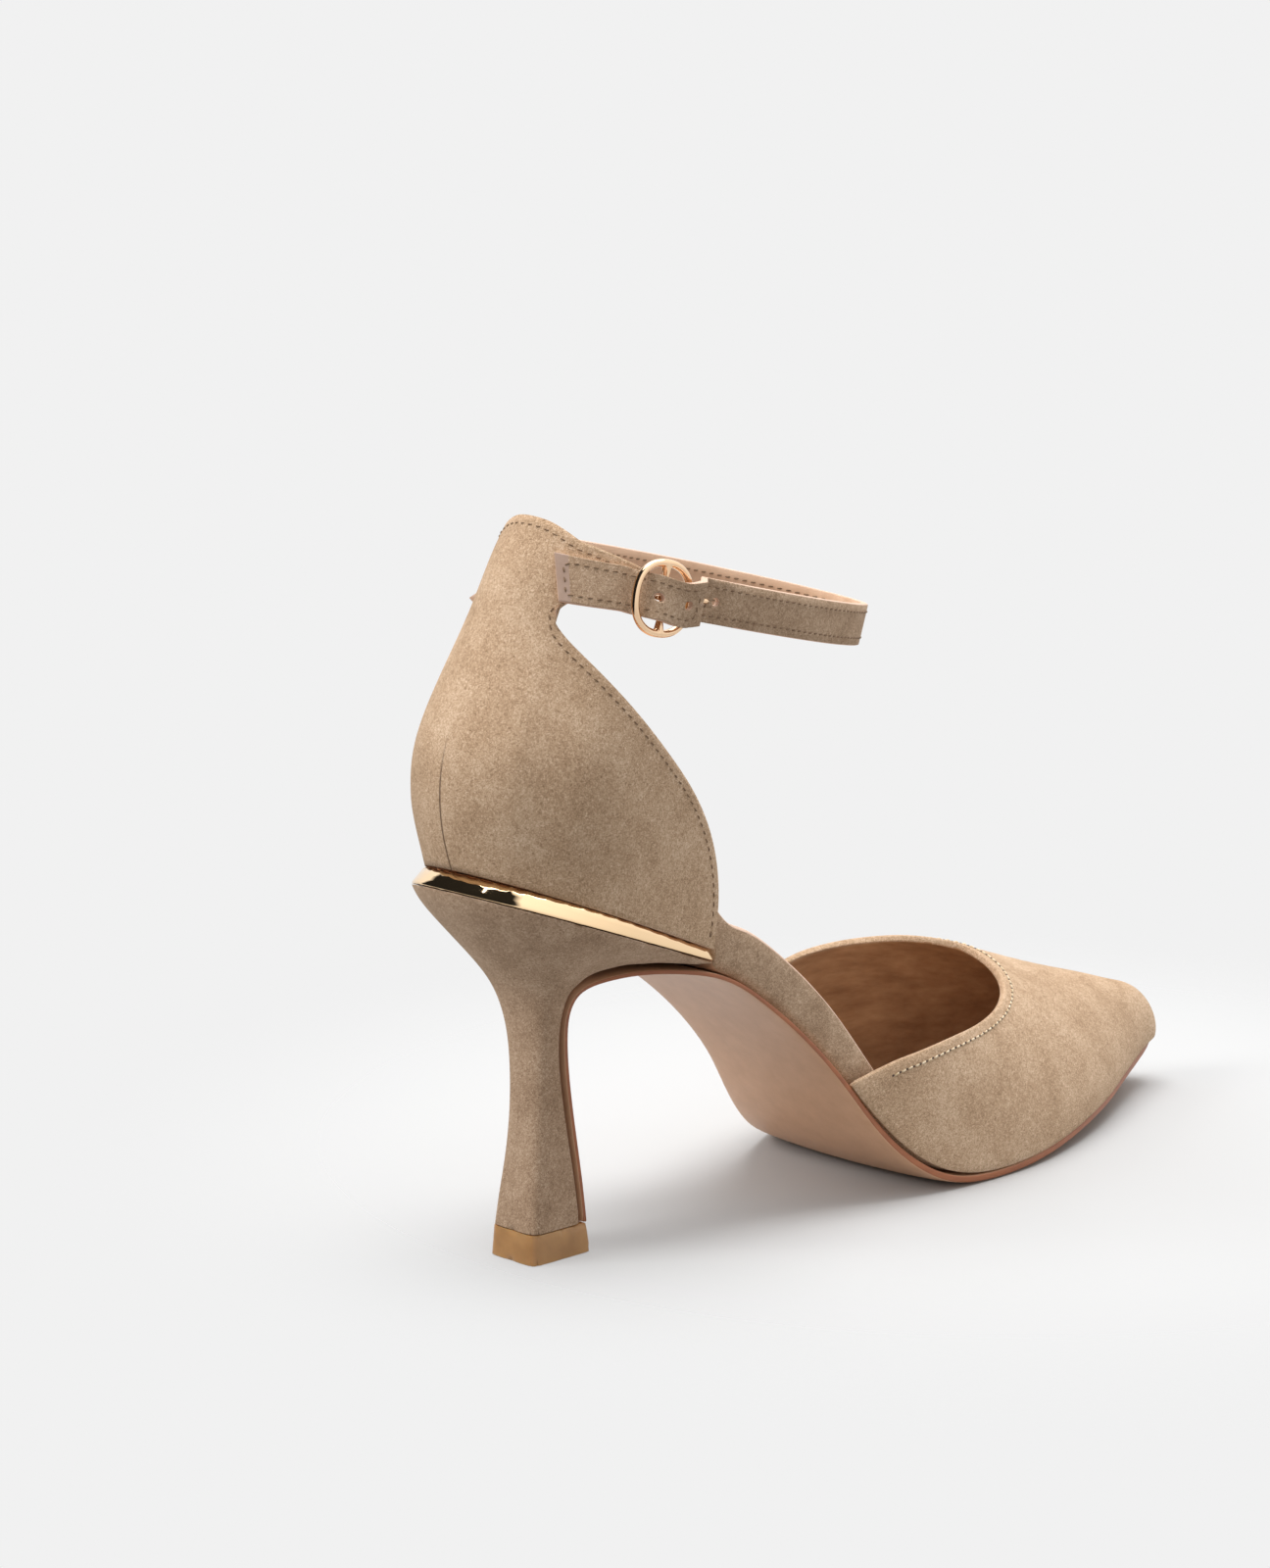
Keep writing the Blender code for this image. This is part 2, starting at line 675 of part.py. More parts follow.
def wing_columns(side, edge_column):
    """Columns of the strap wing, from the wall's edge above the notch to the wing's end."""
    last = len(edge_column) - 1
    middle = strap_height(WING_END_X, side * WING_END_Y)
    half = STRAP_WIDTH / 2
    end_low = middle - half + (0.0 if side > 0 else WING_TUCK)
    end_top = middle + half
    corner = (WING_END_X + STRAP_FALL * (end_low - middle), end_low)
    low_line = spline(in_side_view(WING_LOWER) + [corner])
    low_lengths = running_lengths(low_line)
    start_x, start_z = edge_column[-1]
    end_x = WING_END_X + STRAP_FALL * (end_top - middle)
    wing = []
    for t in WING_COLUMNS:
        low_x, low_z = at_length(low_line, low_lengths, low_lengths[-1] * t)
        high_x = start_x + (end_x - start_x) * t
        high_z = start_z + (end_top - start_z) * t
        column = []
        for j in range(last + 1):
            x = low_x + (high_x - low_x) * j / last
            z = low_z + (high_z - low_z) * j / last
            column.append((x, side * counter_half_width(x, z), z))
        wing.append(column)
    return wing


def counter(collection):
    """One wall round the heel: a back, two front parts that fall to the seat, two wings."""
    split = NOTCH_STEPS
    front_edge = in_side_view(COUNTER_FRONT)
    collar = wall_height(COLLAR_RISE)
    builder = bmesh.new()
    notch_x, notch_z = front_edge[0]
    notch_back = counter_row(notch_z, 1)
    notch_angle = math.acos(1 - (notch_x - notch_back) / counter_row(notch_z, 3))
    front_line = spline(front_edge)
    front_lengths = running_lengths(front_line)
    grid = {}

    def vertex(point):
        return builder.verts.new(in_metres(point))

    for i in range(-COUNTER_STEPS, COUNTER_STEPS + 1):
        angle = notch_angle * i / COUNTER_STEPS
        seat_x = counter_angle_point(angle, collar)[0]
        low = plate_top(seat_x) + GAP
        top_x = counter_angle_point(angle, BACK_HEIGHT * 0.99)[0]
        high = counter_top(top_x)
        for j in range(COUNTER_ROWS + 1):
            if j <= split:
                z = low + (notch_z - low) * j / split
            else:
                z = notch_z + (high - notch_z) * (j - split) / (COUNTER_ROWS - split)
            x, y = counter_angle_point(angle, z)
            grid[i, j] = vertex((x, y, z))
    for i in range(-COUNTER_STEPS, COUNTER_STEPS):
        for j in range(COUNTER_ROWS):
            builder.faces.new((grid[i, j], grid[i + 1, j], grid[i + 1, j + 1], grid[i, j + 1]))
    for side in (-1, 1):
        edge = side * COUNTER_STEPS
        previous = [grid[edge, j] for j in range(split + 1)]
        start_x = counter_angle_point(notch_angle, collar)[0]
        for i in range(1, COUNTER_FRONT_STEPS + 1):
            t = (i / COUNTER_FRONT_STEPS) ** 1.3
            foot_x = start_x + (front_edge[-1][0] - start_x) * t
            foot_z = plate_top(foot_x) + GAP
            head_x, head_z = at_length(front_line, front_lengths, front_lengths[-1] * t)
            column = []
            for j in range(split + 1):
                x = foot_x + (head_x - foot_x) * j / split
                z = foot_z + (head_z - foot_z) * j / split
                column.append(vertex((x, side * counter_half_width(x, z), z)))
            link_columns(builder, previous, column, side)
            previous = column
        previous = [grid[edge, j] for j in range(split, COUNTER_ROWS + 1)]
        edge_column = [(v.co.x * 1000, v.co.z * 1000) for v in previous]
        for points in wing_columns(side, edge_column):
            column = [vertex(p) for p in points]
            link_columns(builder, previous, column, side)
            previous = column
    bmesh.ops.recalc_face_normals(builder, faces=builder.faces)
    face_outwards(builder, in_metres((LENGTH / 8, 0.0, wall_height(0.2))))
    item = add_object(collection, "counter", builder, SUEDE)
    return thicken(item, UPPER_WALL, -1.0)


def link_columns(builder, before, after, side):
    for j in range(len(before) - 1):
        corners = (before[j], after[j], after[j + 1], before[j + 1])
        builder.faces.new(corners if side > 0 else tuple(reversed(corners)))


def face_outwards(builder, inside):
    """Turn all faces when most of them look at the given inside point."""
    facing = sum(face.normal.dot(face.calc_center_median() - inside) for face in builder.faces)
    if facing < 0:
        bmesh.ops.reverse_faces(builder, faces=builder.faces)


# Vamp


TIP_X = 1.005 * LENGTH
TIP_EDGE_X = 0.9667 * LENGTH
TIP_ROUND = 9.0
FEATHER_TUCK = 0.7
FEATHER_HEIGHT = 2.2
UPPER_SPREAD = 0.9


def over_sole(x, share):
    """Height over the floor at a share of the instep rise over the sole."""
    return sole_top(min(x, LENGTH)) + share * INSTEP_RISE


VAMP_MEASURES = [
    (x * LENGTH, over_sole(x * LENGTH, crest), y * BALL_WIDTH / 2, outer_power, inner_power)
    for x, crest, y, outer_power, inner_power in VAMP
]


def tip_close(x):
    """Share that closes the last's sections round the tip of the toe."""
    ahead = max(x - (TIP_X - TIP_ROUND), 0.0) / TIP_ROUND
    return math.sqrt(max(1 - min(ahead, 1.0) ** 2, 0.0))


def vamp_section(x, angle):
    """Point of the vamp at x, angle 0 at the outer feather edge to 180 at the inner one."""
    outer, inner = sole_edges(min(x, TIP_EDGE_X))
    crest = smooth_read(VAMP_MEASURES, 1, x)
    crest_y = smooth_read(VAMP_MEASURES, 2, x)
    low = sole_top(min(x, LENGTH)) + GAP
    shut = tip_close(x)
    high = low + (crest - low) * shut
    middle = (outer + inner) / 2
    outer = middle + (outer - UPPER_SPREAD - middle) * shut
    inner = middle + (inner + UPPER_SPREAD - middle) * shut
    crest_y = middle + (crest_y - middle) * shut
    if angle <= 90.0:
        power = smooth_read(VAMP_MEASURES, 3, x)
        reach = outer - crest_y
        turn = math.radians(angle)
    else:
        power = smooth_read(VAMP_MEASURES, 4, x)
        reach = inner - crest_y
        turn = math.radians(180.0 - angle)
    across = max(math.cos(turn), 0.0) ** (2 / power)
    rise = math.sin(turn) ** (2 / power)
    z = low + (high - low) * rise
    tuck = FEATHER_TUCK * shut * math.exp(-(z - low) / FEATHER_HEIGHT)
    reach -= math.copysign(tuck, reach)
    return x, crest_y + reach * across, z


def angle_at_height(x, z, outer_side):
    """Angle on the section at x where it reaches the height z."""
    low, high = (0.0, 90.0) if outer_side else (180.0, 90.0)
    for _ in range(40):
        middle = (low + high) / 2
        if vamp_section(x, middle)[2] < z:
            low = middle
        else:
            high = middle
    return (low + high) / 2


def vamp_topline():
    """Top line as (x, angle) pairs, outer feather edge to inner feather edge."""
    def point(row, outer_side):
        x = row[0] * LENGTH
        if row[1] == 0.0:
            return x, 0.0 if outer_side else 180.0
        return x, angle_at_height(x, over_sole(x, row[1]), outer_side)

    outer = [point(row, True) for row in TOPLINE_OUTER]
    inner = [point(row, False) for row in TOPLINE_INNER]
    return outer + [(THROAT_X, THROAT_ANGLE)] + inner


# Millimetres that one degree round the last counts for when the top line is cut evenly
DEGREE_WEIGHT = 0.5


def vamp(collection):
    topline = [(x, angle * DEGREE_WEIGHT) for x, angle in spline(vamp_topline(), 6)]
    starts = [(x, a / DEGREE_WEIGHT) for x, a in evenly(topline, VAMP_ROWS)]
    rows = []
    for i, (x0, angle0) in enumerate(starts):
        share = i / VAMP_ROWS
        end_angle = 180.0 * share
        row = []
        for j in range(VAMP_STEPS + 1):
            t = math.sin(math.pi / 2 * j / VAMP_STEPS)
            x = x0 + (TIP_X - x0) * t
            blend = t * t * (3 - 2 * t)
            angle = angle0 + (end_angle - angle0) * blend
            row.append(vamp_section(x, min(max(angle, 0.0), 180.0)))
        rows.append(row)
    builder = sheet(rows)
    bmesh.ops.recalc_face_normals(builder, faces=builder.faces)
    face_outwards(builder, in_metres((THROAT_X, 0.0, over_sole(THROAT_X, 0.1))))
    item = add_object(collection, "vamp", builder, SUEDE)
    return thicken(item, UPPER_WALL, -1.0)


# Strap and buckle


STRAP_RISE = 0.7693
STRAP_DATUM_X = 0.225 * LENGTH
STRAP_DATUM_Y = -0.9057 * SEAT_WIDTH / 2
STRAP_FALL = 0.226
STRAP_TWIST = 0.10
STRAP_TAIL_FALL = 0.17
LEAVES_WALL = 8.0
TWIST_LENGTH = 6.0


def strap_height(x, y):
    """Middle height of the strap: its loop lies in one plane that falls towards the toe."""
    fall = STRAP_FALL if x > STRAP_DATUM_X else STRAP_TAIL_FALL
    return (wall_height(STRAP_RISE) - fall * (x - STRAP_DATUM_X)
            + STRAP_TWIST * (y - STRAP_DATUM_Y))


def wall_up(point):
    """Direction up the counter's wall at a point beside it."""
    ahead = (point.x - counter_row(point.z, 1)) / counter_row(point.z, 3)
    angle = math.copysign(math.acos(min(max(1 - ahead, 0.0), 1.0)), point.y)
    half = STRAP_WIDTH / 2
    high = counter_angle_point(angle, point.z + half)
    low = counter_angle_point(angle, point.z - half)
    return Vector((high[0] - low[0], high[1] - low[1], STRAP_WIDTH)).normalized()


def strap_tail():
    """Plan points of the free end on the outer face of the counter, from front to back."""
    stand_off = STRAP_THICKNESS / 2 + GAP
    points = []
    for angle in STRAP_TAIL_ANGLES:
        turn = math.radians(angle)
        x, y = counter_angle_point(-turn, wall_height(STRAP_RISE))
        x, y = counter_angle_point(-turn, strap_height(x, y))
        lean = Vector((-math.cos(turn), -math.sin(turn), 0.0)) * stand_off
        points.append((x + lean.x, y + lean.y))
    return points


def strap_centre_line():
    start_x = WING_END_X + 2 * GAP
    start_z = strap_height(start_x, WING_END_Y)
    start = (start_x, counter_half_width(start_x, start_z) - UPPER_WALL / 2)
    loop = [(x * LENGTH, y * SEAT_WIDTH / 2) for x, y in STRAP_ROUTE]
    route = [start] + loop + strap_tail()
    dense = spline(route, 10)
    return [Vector((x, y, strap_height(x, y))) for x, y in dense]


class StrapRoute:
    """The strap's middle line, read by length, with its outward and upward directions."""

    def __init__(self):
        self.points = [tuple(p) for p in strap_centre_line()]
        self.lengths = running_lengths(self.points)
        self.total = self.lengths[-1]
        self.bar = self.length_at_bar()

    def length_at_bar(self):
        best = min((abs(p[0] - BUCKLE_X), s) for p, s in zip(self.points, self.lengths)
                   if p[1] < 0.0)
        return best[1]

    def place(self, length):
        return Vector(at_length(self.points, self.lengths, min(max(length, 0.0), self.total)))

    def frame(self, length):
        """Directions along the strap, outward from the ankle and up its width."""
        along = (self.place(length + 1.0) - self.place(length - 1.0)).normalized()
        here = self.place(length)
        loop_up = Vector((STRAP_FALL, -STRAP_TWIST, 1.0)).normalized()
        on_wall = min(max((WING_END_X + LEAVES_WALL - here.x) / TWIST_LENGTH, 0.0), 1.0)
        upward = loop_up.lerp(wall_up(here), on_wall)
        outward = upward.cross(along).normalized()
        upward = along.cross(outward).normalized()
        return along, outward, upward


# Holes of the strap, the pin's own one first
STRAP_HOLES = (
    # ahead of the bar, half length
    (PIN_HOLE_AHEAD, PIN_HOLE_HALF),
    (15.0, HOLE_RADIUS),
    (5.1, HOLE_RADIUS),
    (-2.2, HOLE_RADIUS),
)

# The strap rises over the buckle's bar and front rail and sags there
BULGE = (
    # ahead of the bar, rise, sag
    (-8.0, 0.0, 0.0),
    (-6.4, 0.0, 0.35),
    (-4.8, 1.9, 0.9),
    (-3.2, 3.8, 1.4),
    (0.0, 4.1, 1.6),
    (4.0, 4.3, 1.5),
    (8.2, 4.4, 0.6),
    (9.1, 3.7, 0.3),
    (10.0, 1.6, 0.1),
    (10.9, 0.3, 0.0),
    (11.7, 0.0, 0.0),
)


TAIL_LENGTH = 12.0
TAIL_FLARE = 0.06
TAIL_SLANT = 0.3
TAIL_STEP = 2.5
HOLE_MARGIN = 1.2
CLOSEST_STATIONS = 0.35


def strap_stations(route):
    """Lengths along the strap: coarse round the ankle, fine and hole-centred at the buckle."""
    holes = [(route.bar - ahead, half) for ahead, half in STRAP_HOLES]
    marks = []
    for centre, half in holes:
        marks += [centre - half, centre, centre + half]
    fine_start, fine_end = min(marks) - HOLE_MARGIN, route.bar - BULGE[0][0] + HOLE_MARGIN
    coarse = []
    steps = max(int(fine_start / STRAP_COARSE_STEP), 1)
    coarse += [fine_start * i / steps for i in range(steps + 1)]
    tail_steps = max(int((route.total - fine_end) / TAIL_STEP), 1)
    coarse += [fine_end + (route.total - fine_end) * i / tail_steps
               for i in range(tail_steps + 1)]
    between = []
    length = fine_start
    while length < fine_end:
        if all(abs(length - hole) > half + STRAP_FINE_STEP / 2 for hole, half in holes):
            between.append(length)
        length += STRAP_FINE_STEP
    stations = sorted(set([round(v, 4) for v in coarse + between + marks]))
    tidy = [stations[0]]
    for value in stations[1:]:
        if value - tidy[-1] > CLOSEST_STATIONS or any(abs(value - m) < 1e-3 for m in marks):
            tidy.append(value)
    return tidy, [centre for centre, half in holes]


def strap(collection, route):
    stations, hole_centres = strap_stations(route)
    levels = (-0.5, -0.42, -0.25, -HOLE_RADIUS / STRAP_WIDTH, 0.0, HOLE_RADIUS / STRAP_WIDTH,
              0.25, 0.42, 0.5)
    rows = []
    for length in stations:
        along, outward, upward = route.frame(length)
        ahead = route.bar - length
        centre = (route.place(length) + outward * smooth_read(BULGE, 1, ahead)
                  - upward * smooth_read(BULGE, 2, ahead))
        tail = max(1 - (route.total - length) / TAIL_LENGTH, 0.0)
        across = upward * (1 + TAIL_FLARE * tail) + along * (TAIL_SLANT * tail)
        rows.append([tuple(centre + across * STRAP_WIDTH * level) for level in levels])
    skipped, moved = set(), {}
    for centre in hole_centres:
        middle = min(range(len(stations)), key=lambda i: abs(stations[i] - centre))
        skipped |= {(middle - 1, 3), (middle - 1, 4), (middle, 3), (middle, 4)}
        for di, dj in ((-1, -1), (-1, 1), (1, -1), (1, 1)):
            hub = Vector(rows[middle][4])
            corner = Vector(rows[middle + di][4 + dj])
            moved[middle + di, 4 + dj] = tuple(hub + (corner - hub) * math.sqrt(0.5))
    builder = sheet(rows, skipped, moved)
    bmesh.ops.recalc_face_normals(builder, faces=builder.faces)
    face_outwards(builder, in_metres((LENGTH / 3, 0.0, wall_height(STRAP_RISE))))
    item = add_object(collection, "ankle_strap", builder, SUEDE)
    return thicken(item, STRAP_THICKNESS, 0.0)


def buckle_frame(route):
    """Centre and directions of the buckle: it leans with the strap, its front rail tilts in."""
    along, outward, upward = route.frame(route.bar)
    leaning = route.frame(route.bar - BUCKLE_LENGTH / 2)[2]
    outward = (upward + leaning).cross(along).normalized()
    upward = along.cross(outward).normalized()
    lift = STRAP_THICKNESS / 2 + GAP + BUCKLE_WIRE / 2 + RING_LIFT
    centre = route.place(route.bar) + outward * lift - upward * BUCKLE_DROP
    tilt = math.radians(RING_TILT)
    forward = -along * math.cos(tilt) - outward * math.sin(tilt)
    outward = outward * math.cos(tilt) - along * math.sin(tilt)
    return centre, forward, outward, upward


def wire(collection, name, points, radius, cyclic, recipe):
    curve = bpy.data.curves.new(name, "CURVE")
    curve.dimensions = "3D"
    curve.bevel_depth = radius * 0.001
    curve.bevel_resolution = 2
    curve.use_fill_caps = not cyclic
    path = curve.splines.new("POLY")
    path.points.add(len(points) - 1)
    for target, point in zip(path.points, points):
        target.co = (*in_metres(point), 1.0)
    path.use_cyclic_u = cyclic
    item = bpy.data.objects.new(name, curve)
    collection.objects.link(item)
    item.data.materials.append(principled(recipe))
    return item


def as_mesh(collection, item):
    """Mesh copy of a curve, its caps welded."""
    graph = bpy.context.evaluated_depsgraph_get()
    mesh = bpy.data.meshes.new_from_object(item.evaluated_get(graph))
    builder = bmesh.new()
    builder.from_mesh(mesh)
    bmesh.ops.remove_doubles(builder, verts=builder.verts, dist=1e-6)
    bmesh.ops.recalc_face_normals(builder, faces=builder.faces)
    builder.to_mesh(mesh)
    builder.free()
    name = item.name
    copy = bpy.data.objects.new(name + "_mesh", mesh)
    copy.matrix_world = item.matrix_world.copy()
    collection.objects.link(copy)
    bpy.data.objects.remove(item, do_unlink=True)
    copy.name = name
    return copy


def buckle(collection, route):
    """Rounded wire frame with a middle bar, joined into one piece."""
    centre, forward, outward, upward = buckle_frame(route)
    half_length = (BUCKLE_LENGTH - BUCKLE_WIRE) / 2
    half_height = (BUCKLE_HEIGHT - BUCKLE_WIRE) / 2
    ring = []
    for i in range(36):
        turn = 2 * math.pi * i / 36
        c, s = math.cos(turn), math.sin(turn)
        x = half_length * math.copysign(abs(c) ** RING_SQUARENESS, c)
        z = half_height * math.copysign(abs(s) ** RING_SQUARENESS, s)
        ring.append(centre + forward * x + upward * z)
    bar = [centre + upward * half_height * t for t in (-1.0, 1.0)]
    frame = wire(collection, "buckle_frame", ring, BUCKLE_WIRE / 2, True, GOLD)
    frame = as_mesh(collection, frame)
    middle = as_mesh(collection, wire(collection, "buckle_bar", bar, BAR_RADIUS,
                                      False, GOLD))
    join = frame.modifiers.new("Bar", "BOOLEAN")
    join.operation = "UNION"
    join.object = middle
    return frame, middle


PIN_PLAY = 0.2
PIN_HOOK_TURNS = (10, -20, -50, -80, -110, -140)


def prong(collection, route):
    """Tongue of the buckle: a hook under the bar and a pin out through the strap's hole."""
    centre, forward, outward, upward = buckle_frame(route)
    clear = BAR_RADIUS + PIN_RADIUS + PIN_PLAY
    points = []
    for turn in PIN_HOOK_TURNS:
        angle = math.radians(turn)
        points.append(centre - forward * clear * math.cos(angle)
                      + outward * clear * math.sin(angle))
    front = (BUCKLE_LENGTH - BUCKLE_WIRE) / 2
    rest = BUCKLE_WIRE / 2 + PIN_RADIUS + PIN_PLAY
    path = ((2.4, -0.8, 0.0), (front - 3.2, 0.1, 0.15), (front - 1.2, rest - 0.15, 0.35),
            (front + 0.6, rest + 0.1, 0.5), (front + 3.9, rest + 0.1, 0.6))
    for ahead, out, up in path:
        points.append(centre + forward * ahead + outward * out + upward * up)
    item = wire(collection, "buckle_prong", points, PIN_RADIUS, False, GOLD)
    return as_mesh(collection, item)


ELASTIC_END = 1.75


def elastic(collection, route):
    """Gathered elastic tab from the inside of the outer wing towards the buckle's bar."""
    inside = -(STRAP_THICKNESS / 2 + GAP + UPPER_WALL + GAP + ELASTIC_THICKNESS / 2 + 0.1)
    clear_of_wing = BUCKLE_X - WING_END_X - ELASTIC_THICKNESS
    swing = clear_of_wing - ELASTIC_END
    behind_bar = [clear_of_wing + reach for reach in (10.0, 8.0, 6.0, 4.0, 2.2, 1.0, 0.3)]
    behind_bar += [ELASTIC_END + swing * share for share in (1.0, 0.8, 0.6, 0.4, 0.2, 0.0)]
    rows = []
    for behind in behind_bar:
        along, outward, upward = route.frame(route.bar + behind)
        t = min(max((clear_of_wing - behind) / swing, 0.0), 1.0)
        depth = inside + (BAR_DEPTH - inside) * t * t * (3 - 2 * t)
        centre = route.place(route.bar + behind) + outward * depth
        rows.append([tuple(centre + upward * ELASTIC_HALF * level)
                     for level in (-1.0, -0.5, 0.0, 0.5, 1.0)])
    builder = sheet(rows)
    bmesh.ops.recalc_face_normals(builder, faces=builder.faces)
    item = add_object(collection, "buckle_elastic", builder, ELASTIC)
    return thicken(item, ELASTIC_THICKNESS, 0.0)


def centre_on_floor(items):
    """Shift every piece so that the shoe's middle stands over the origin."""
    bpy.context.view_layer.update()
    graph = bpy.context.evaluated_depsgraph_get()
    lows, highs = [1e9, 1e9], [-1e9, -1e9]
    for item in items:
        evaluated = item.evaluated_get(graph)
        for vert in evaluated.data.vertices:
            point = item.matrix_world @ vert.co
            for k in (0, 1):
                lows[k] = min(lows[k], point[k])
                highs[k] = max(highs[k], point[k])
    shift = Vector((-(lows[0] + highs[0]) / 2, -(lows[1] + highs[1]) / 2, 0.0))
    return shift


def main():
    collection = start_scene()
    cutters = bpy.data.collections.new("Guides")
    bpy.context.scene.collection.children.link(cutters)
    route = StrapRoute()
    frame, bar = buckle(collection, route)
    items = [
        outsole(collection),
        insole(collection),
        heel_block(collection),
        gold_plate(collection),
        top_lift(collection),
        counter(collection),
        vamp(collection),
        strap(collection, route),
        frame,
        prong(collection, route),
        elastic(collection, route),
    ]
    collection.objects.unlink(bar)
    cutters.objects.link(bar)
    bar.hide_render = True
    bar.display_type = "WIRE"
    shift = centre_on_floor(items)
    for item in items + [bar]:
        item.location = item.location + shift
        item.data.shade_smooth()
        item.data.set_sharp_from_angle(angle=math.radians(40.0))


main()
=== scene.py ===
# %% [markdown]
# # A suede ankle strap pump, dressed for the studio
# The solids of the shoe arrive ready made. This lesson gives them what a shoemaker and a
# photographer would add: soft rounded edges, suede with its brushed nap, leather linings,
# rows of stitches, a mirror-bright seat plate, a pale floor and broad soft light.

import json
import math

import bmesh
import bpy
from mathutils import Matrix, Vector
from mathutils.bvhtree import BVHTree

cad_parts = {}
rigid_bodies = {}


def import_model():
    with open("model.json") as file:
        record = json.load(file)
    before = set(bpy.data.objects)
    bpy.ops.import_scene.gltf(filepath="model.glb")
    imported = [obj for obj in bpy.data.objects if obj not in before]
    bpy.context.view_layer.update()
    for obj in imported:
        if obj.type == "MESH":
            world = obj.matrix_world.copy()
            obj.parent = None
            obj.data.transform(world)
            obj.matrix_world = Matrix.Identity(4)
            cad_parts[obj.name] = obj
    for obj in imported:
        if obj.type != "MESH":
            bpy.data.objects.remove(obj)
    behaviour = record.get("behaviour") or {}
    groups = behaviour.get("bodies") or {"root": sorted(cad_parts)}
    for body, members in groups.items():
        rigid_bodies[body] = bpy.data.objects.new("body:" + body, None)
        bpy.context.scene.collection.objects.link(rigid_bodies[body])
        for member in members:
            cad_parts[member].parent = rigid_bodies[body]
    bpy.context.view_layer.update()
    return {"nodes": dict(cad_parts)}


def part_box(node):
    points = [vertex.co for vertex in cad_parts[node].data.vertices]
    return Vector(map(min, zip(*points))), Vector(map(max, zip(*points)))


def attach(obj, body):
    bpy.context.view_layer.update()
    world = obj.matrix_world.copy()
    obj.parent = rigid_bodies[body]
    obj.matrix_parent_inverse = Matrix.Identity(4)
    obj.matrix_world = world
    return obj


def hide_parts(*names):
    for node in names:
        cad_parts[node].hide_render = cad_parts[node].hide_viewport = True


MM = 0.001
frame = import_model()
print("pieces in the frame:", sorted(frame["nodes"]))

# %% [markdown]
# ## Small helpers
# An operator works on everything that is selected, so each step starts by selecting one
# object alone. Colours are picked as sRGB hex values, as in any paint program, while a shader
# wants linear light, so one function turns the one into the other.


# %% Selection, colours and nodes
def select_only(item):
    for other in bpy.context.scene.objects:
        other.select_set(False)
    item.select_set(True)
    bpy.context.view_layer.objects.active = item


def colour(hex_code):
    channels = [int(hex_code[i:i + 2], 16) / 255 for i in (1, 3, 5)]
    linear = [c / 12.92 if c <= 0.04045 else ((c + 0.055) / 1.055) ** 2.4 for c in channels]
    return (*linear, 1.0)


def per_mm(size):
    """Scale of a texture whose pattern repeats about every size millimetres."""
    return 1.0 / (size * MM)


def new_material(name):
    material = bpy.data.materials.new(name)
    material.use_nodes = True
    tree = material.node_tree
    return material, tree, tree.nodes["Principled BSDF"]


def add_node(tree, kind, settings, **links):
    """Add a node; settings go to its properties or sockets, links join other nodes' outputs."""
    node = tree.nodes.new(kind)
    for key, value in settings.items():
        if hasattr(node, key):
            setattr(node, key, value)
        else:
            node.inputs[key].default_value = value
    for key, source in links.items():
        tree.links.new(source, node.inputs[key.replace("_", " ")])
    return node


# %% [markdown]
# ## Suede
# Suede is the flesh side of a hide, sanded until it has a short velvety nap. Three things
# make it read as suede: cloudy patches where the nap has been brushed one way or the other,
# a fine worm-like grain of leaning fibres, and a soft bloom at grazing angles, which the
# sheen layer gives. It is never shiny, so its specular level is low and its roughness high.


# %% Suede material
def weighted_sum(tree, parts):
    """Add up several noises, each times its weight."""
    total = None
    for output, weight in parts:
        step = add_node(tree, "ShaderNodeMath", {"operation": "MULTIPLY_ADD"})
        tree.links.new(output, step.inputs[0])
        step.inputs[1].default_value = weight
        step.inputs[2].default_value = 0.0
        if total is not None:
            tree.links.new(total, step.inputs[2])
        total = step.outputs["Value"]
    return total


def suede(name, dark, middle, light, spread, sheen=0.22):
    material, tree, shader = new_material(name)
    position = add_node(tree, "ShaderNodeTexCoord", {}).outputs["Object"]
    patches = add_node(tree, "ShaderNodeTexNoise",
                       {"Scale": per_mm(spread), "Detail": 3.0, "Roughness": 0.55,
                        "Distortion": 0.4}, Vector=position)
    tufts = add_node(tree, "ShaderNodeTexNoise",
                     {"Scale": per_mm(1.5), "Detail": 2.0, "Distortion": 0.8}, Vector=position)
    # Fibres are finer than a pixel, so they are drawn a touch coarse to show at all
    fibres = add_node(tree, "ShaderNodeTexNoise",
                      {"Scale": per_mm(0.42), "Detail": 2.0, "Roughness": 0.8,
                       "Distortion": 1.2}, Vector=position)
    nap = weighted_sum(tree, ((patches.outputs["Fac"], 0.22), (tufts.outputs["Fac"], 0.12),
                              (fibres.outputs["Fac"], 0.66)))
    ramp = add_node(tree, "ShaderNodeValToRGB", {}, Fac=nap)
    stops = ramp.color_ramp.elements
    stops[0].position, stops[0].color = 0.36, colour(dark)
    stops[1].position, stops[1].color = 0.64, colour(light)
    stops.new(0.5).color = colour(middle)
    tree.links.new(ramp.outputs["Color"], shader.inputs["Base Color"])
    relief = add_node(tree, "ShaderNodeBump", {"Strength": 0.5, "Distance": 0.2 * MM},
                      Height=fibres.outputs["Fac"])
    tree.links.new(relief.outputs["Normal"], shader.inputs["Normal"])
    shader.inputs["Roughness"].default_value = 0.95
    shader.inputs["Specular IOR Level"].default_value = 0.12
    shader.inputs["Sheen Weight"].default_value = sheen
    shader.inputs["Sheen Roughness"].default_value = 0.5
    shader.inputs["Sheen Tint"].default_value = colour("#E2CDB6")
    return material


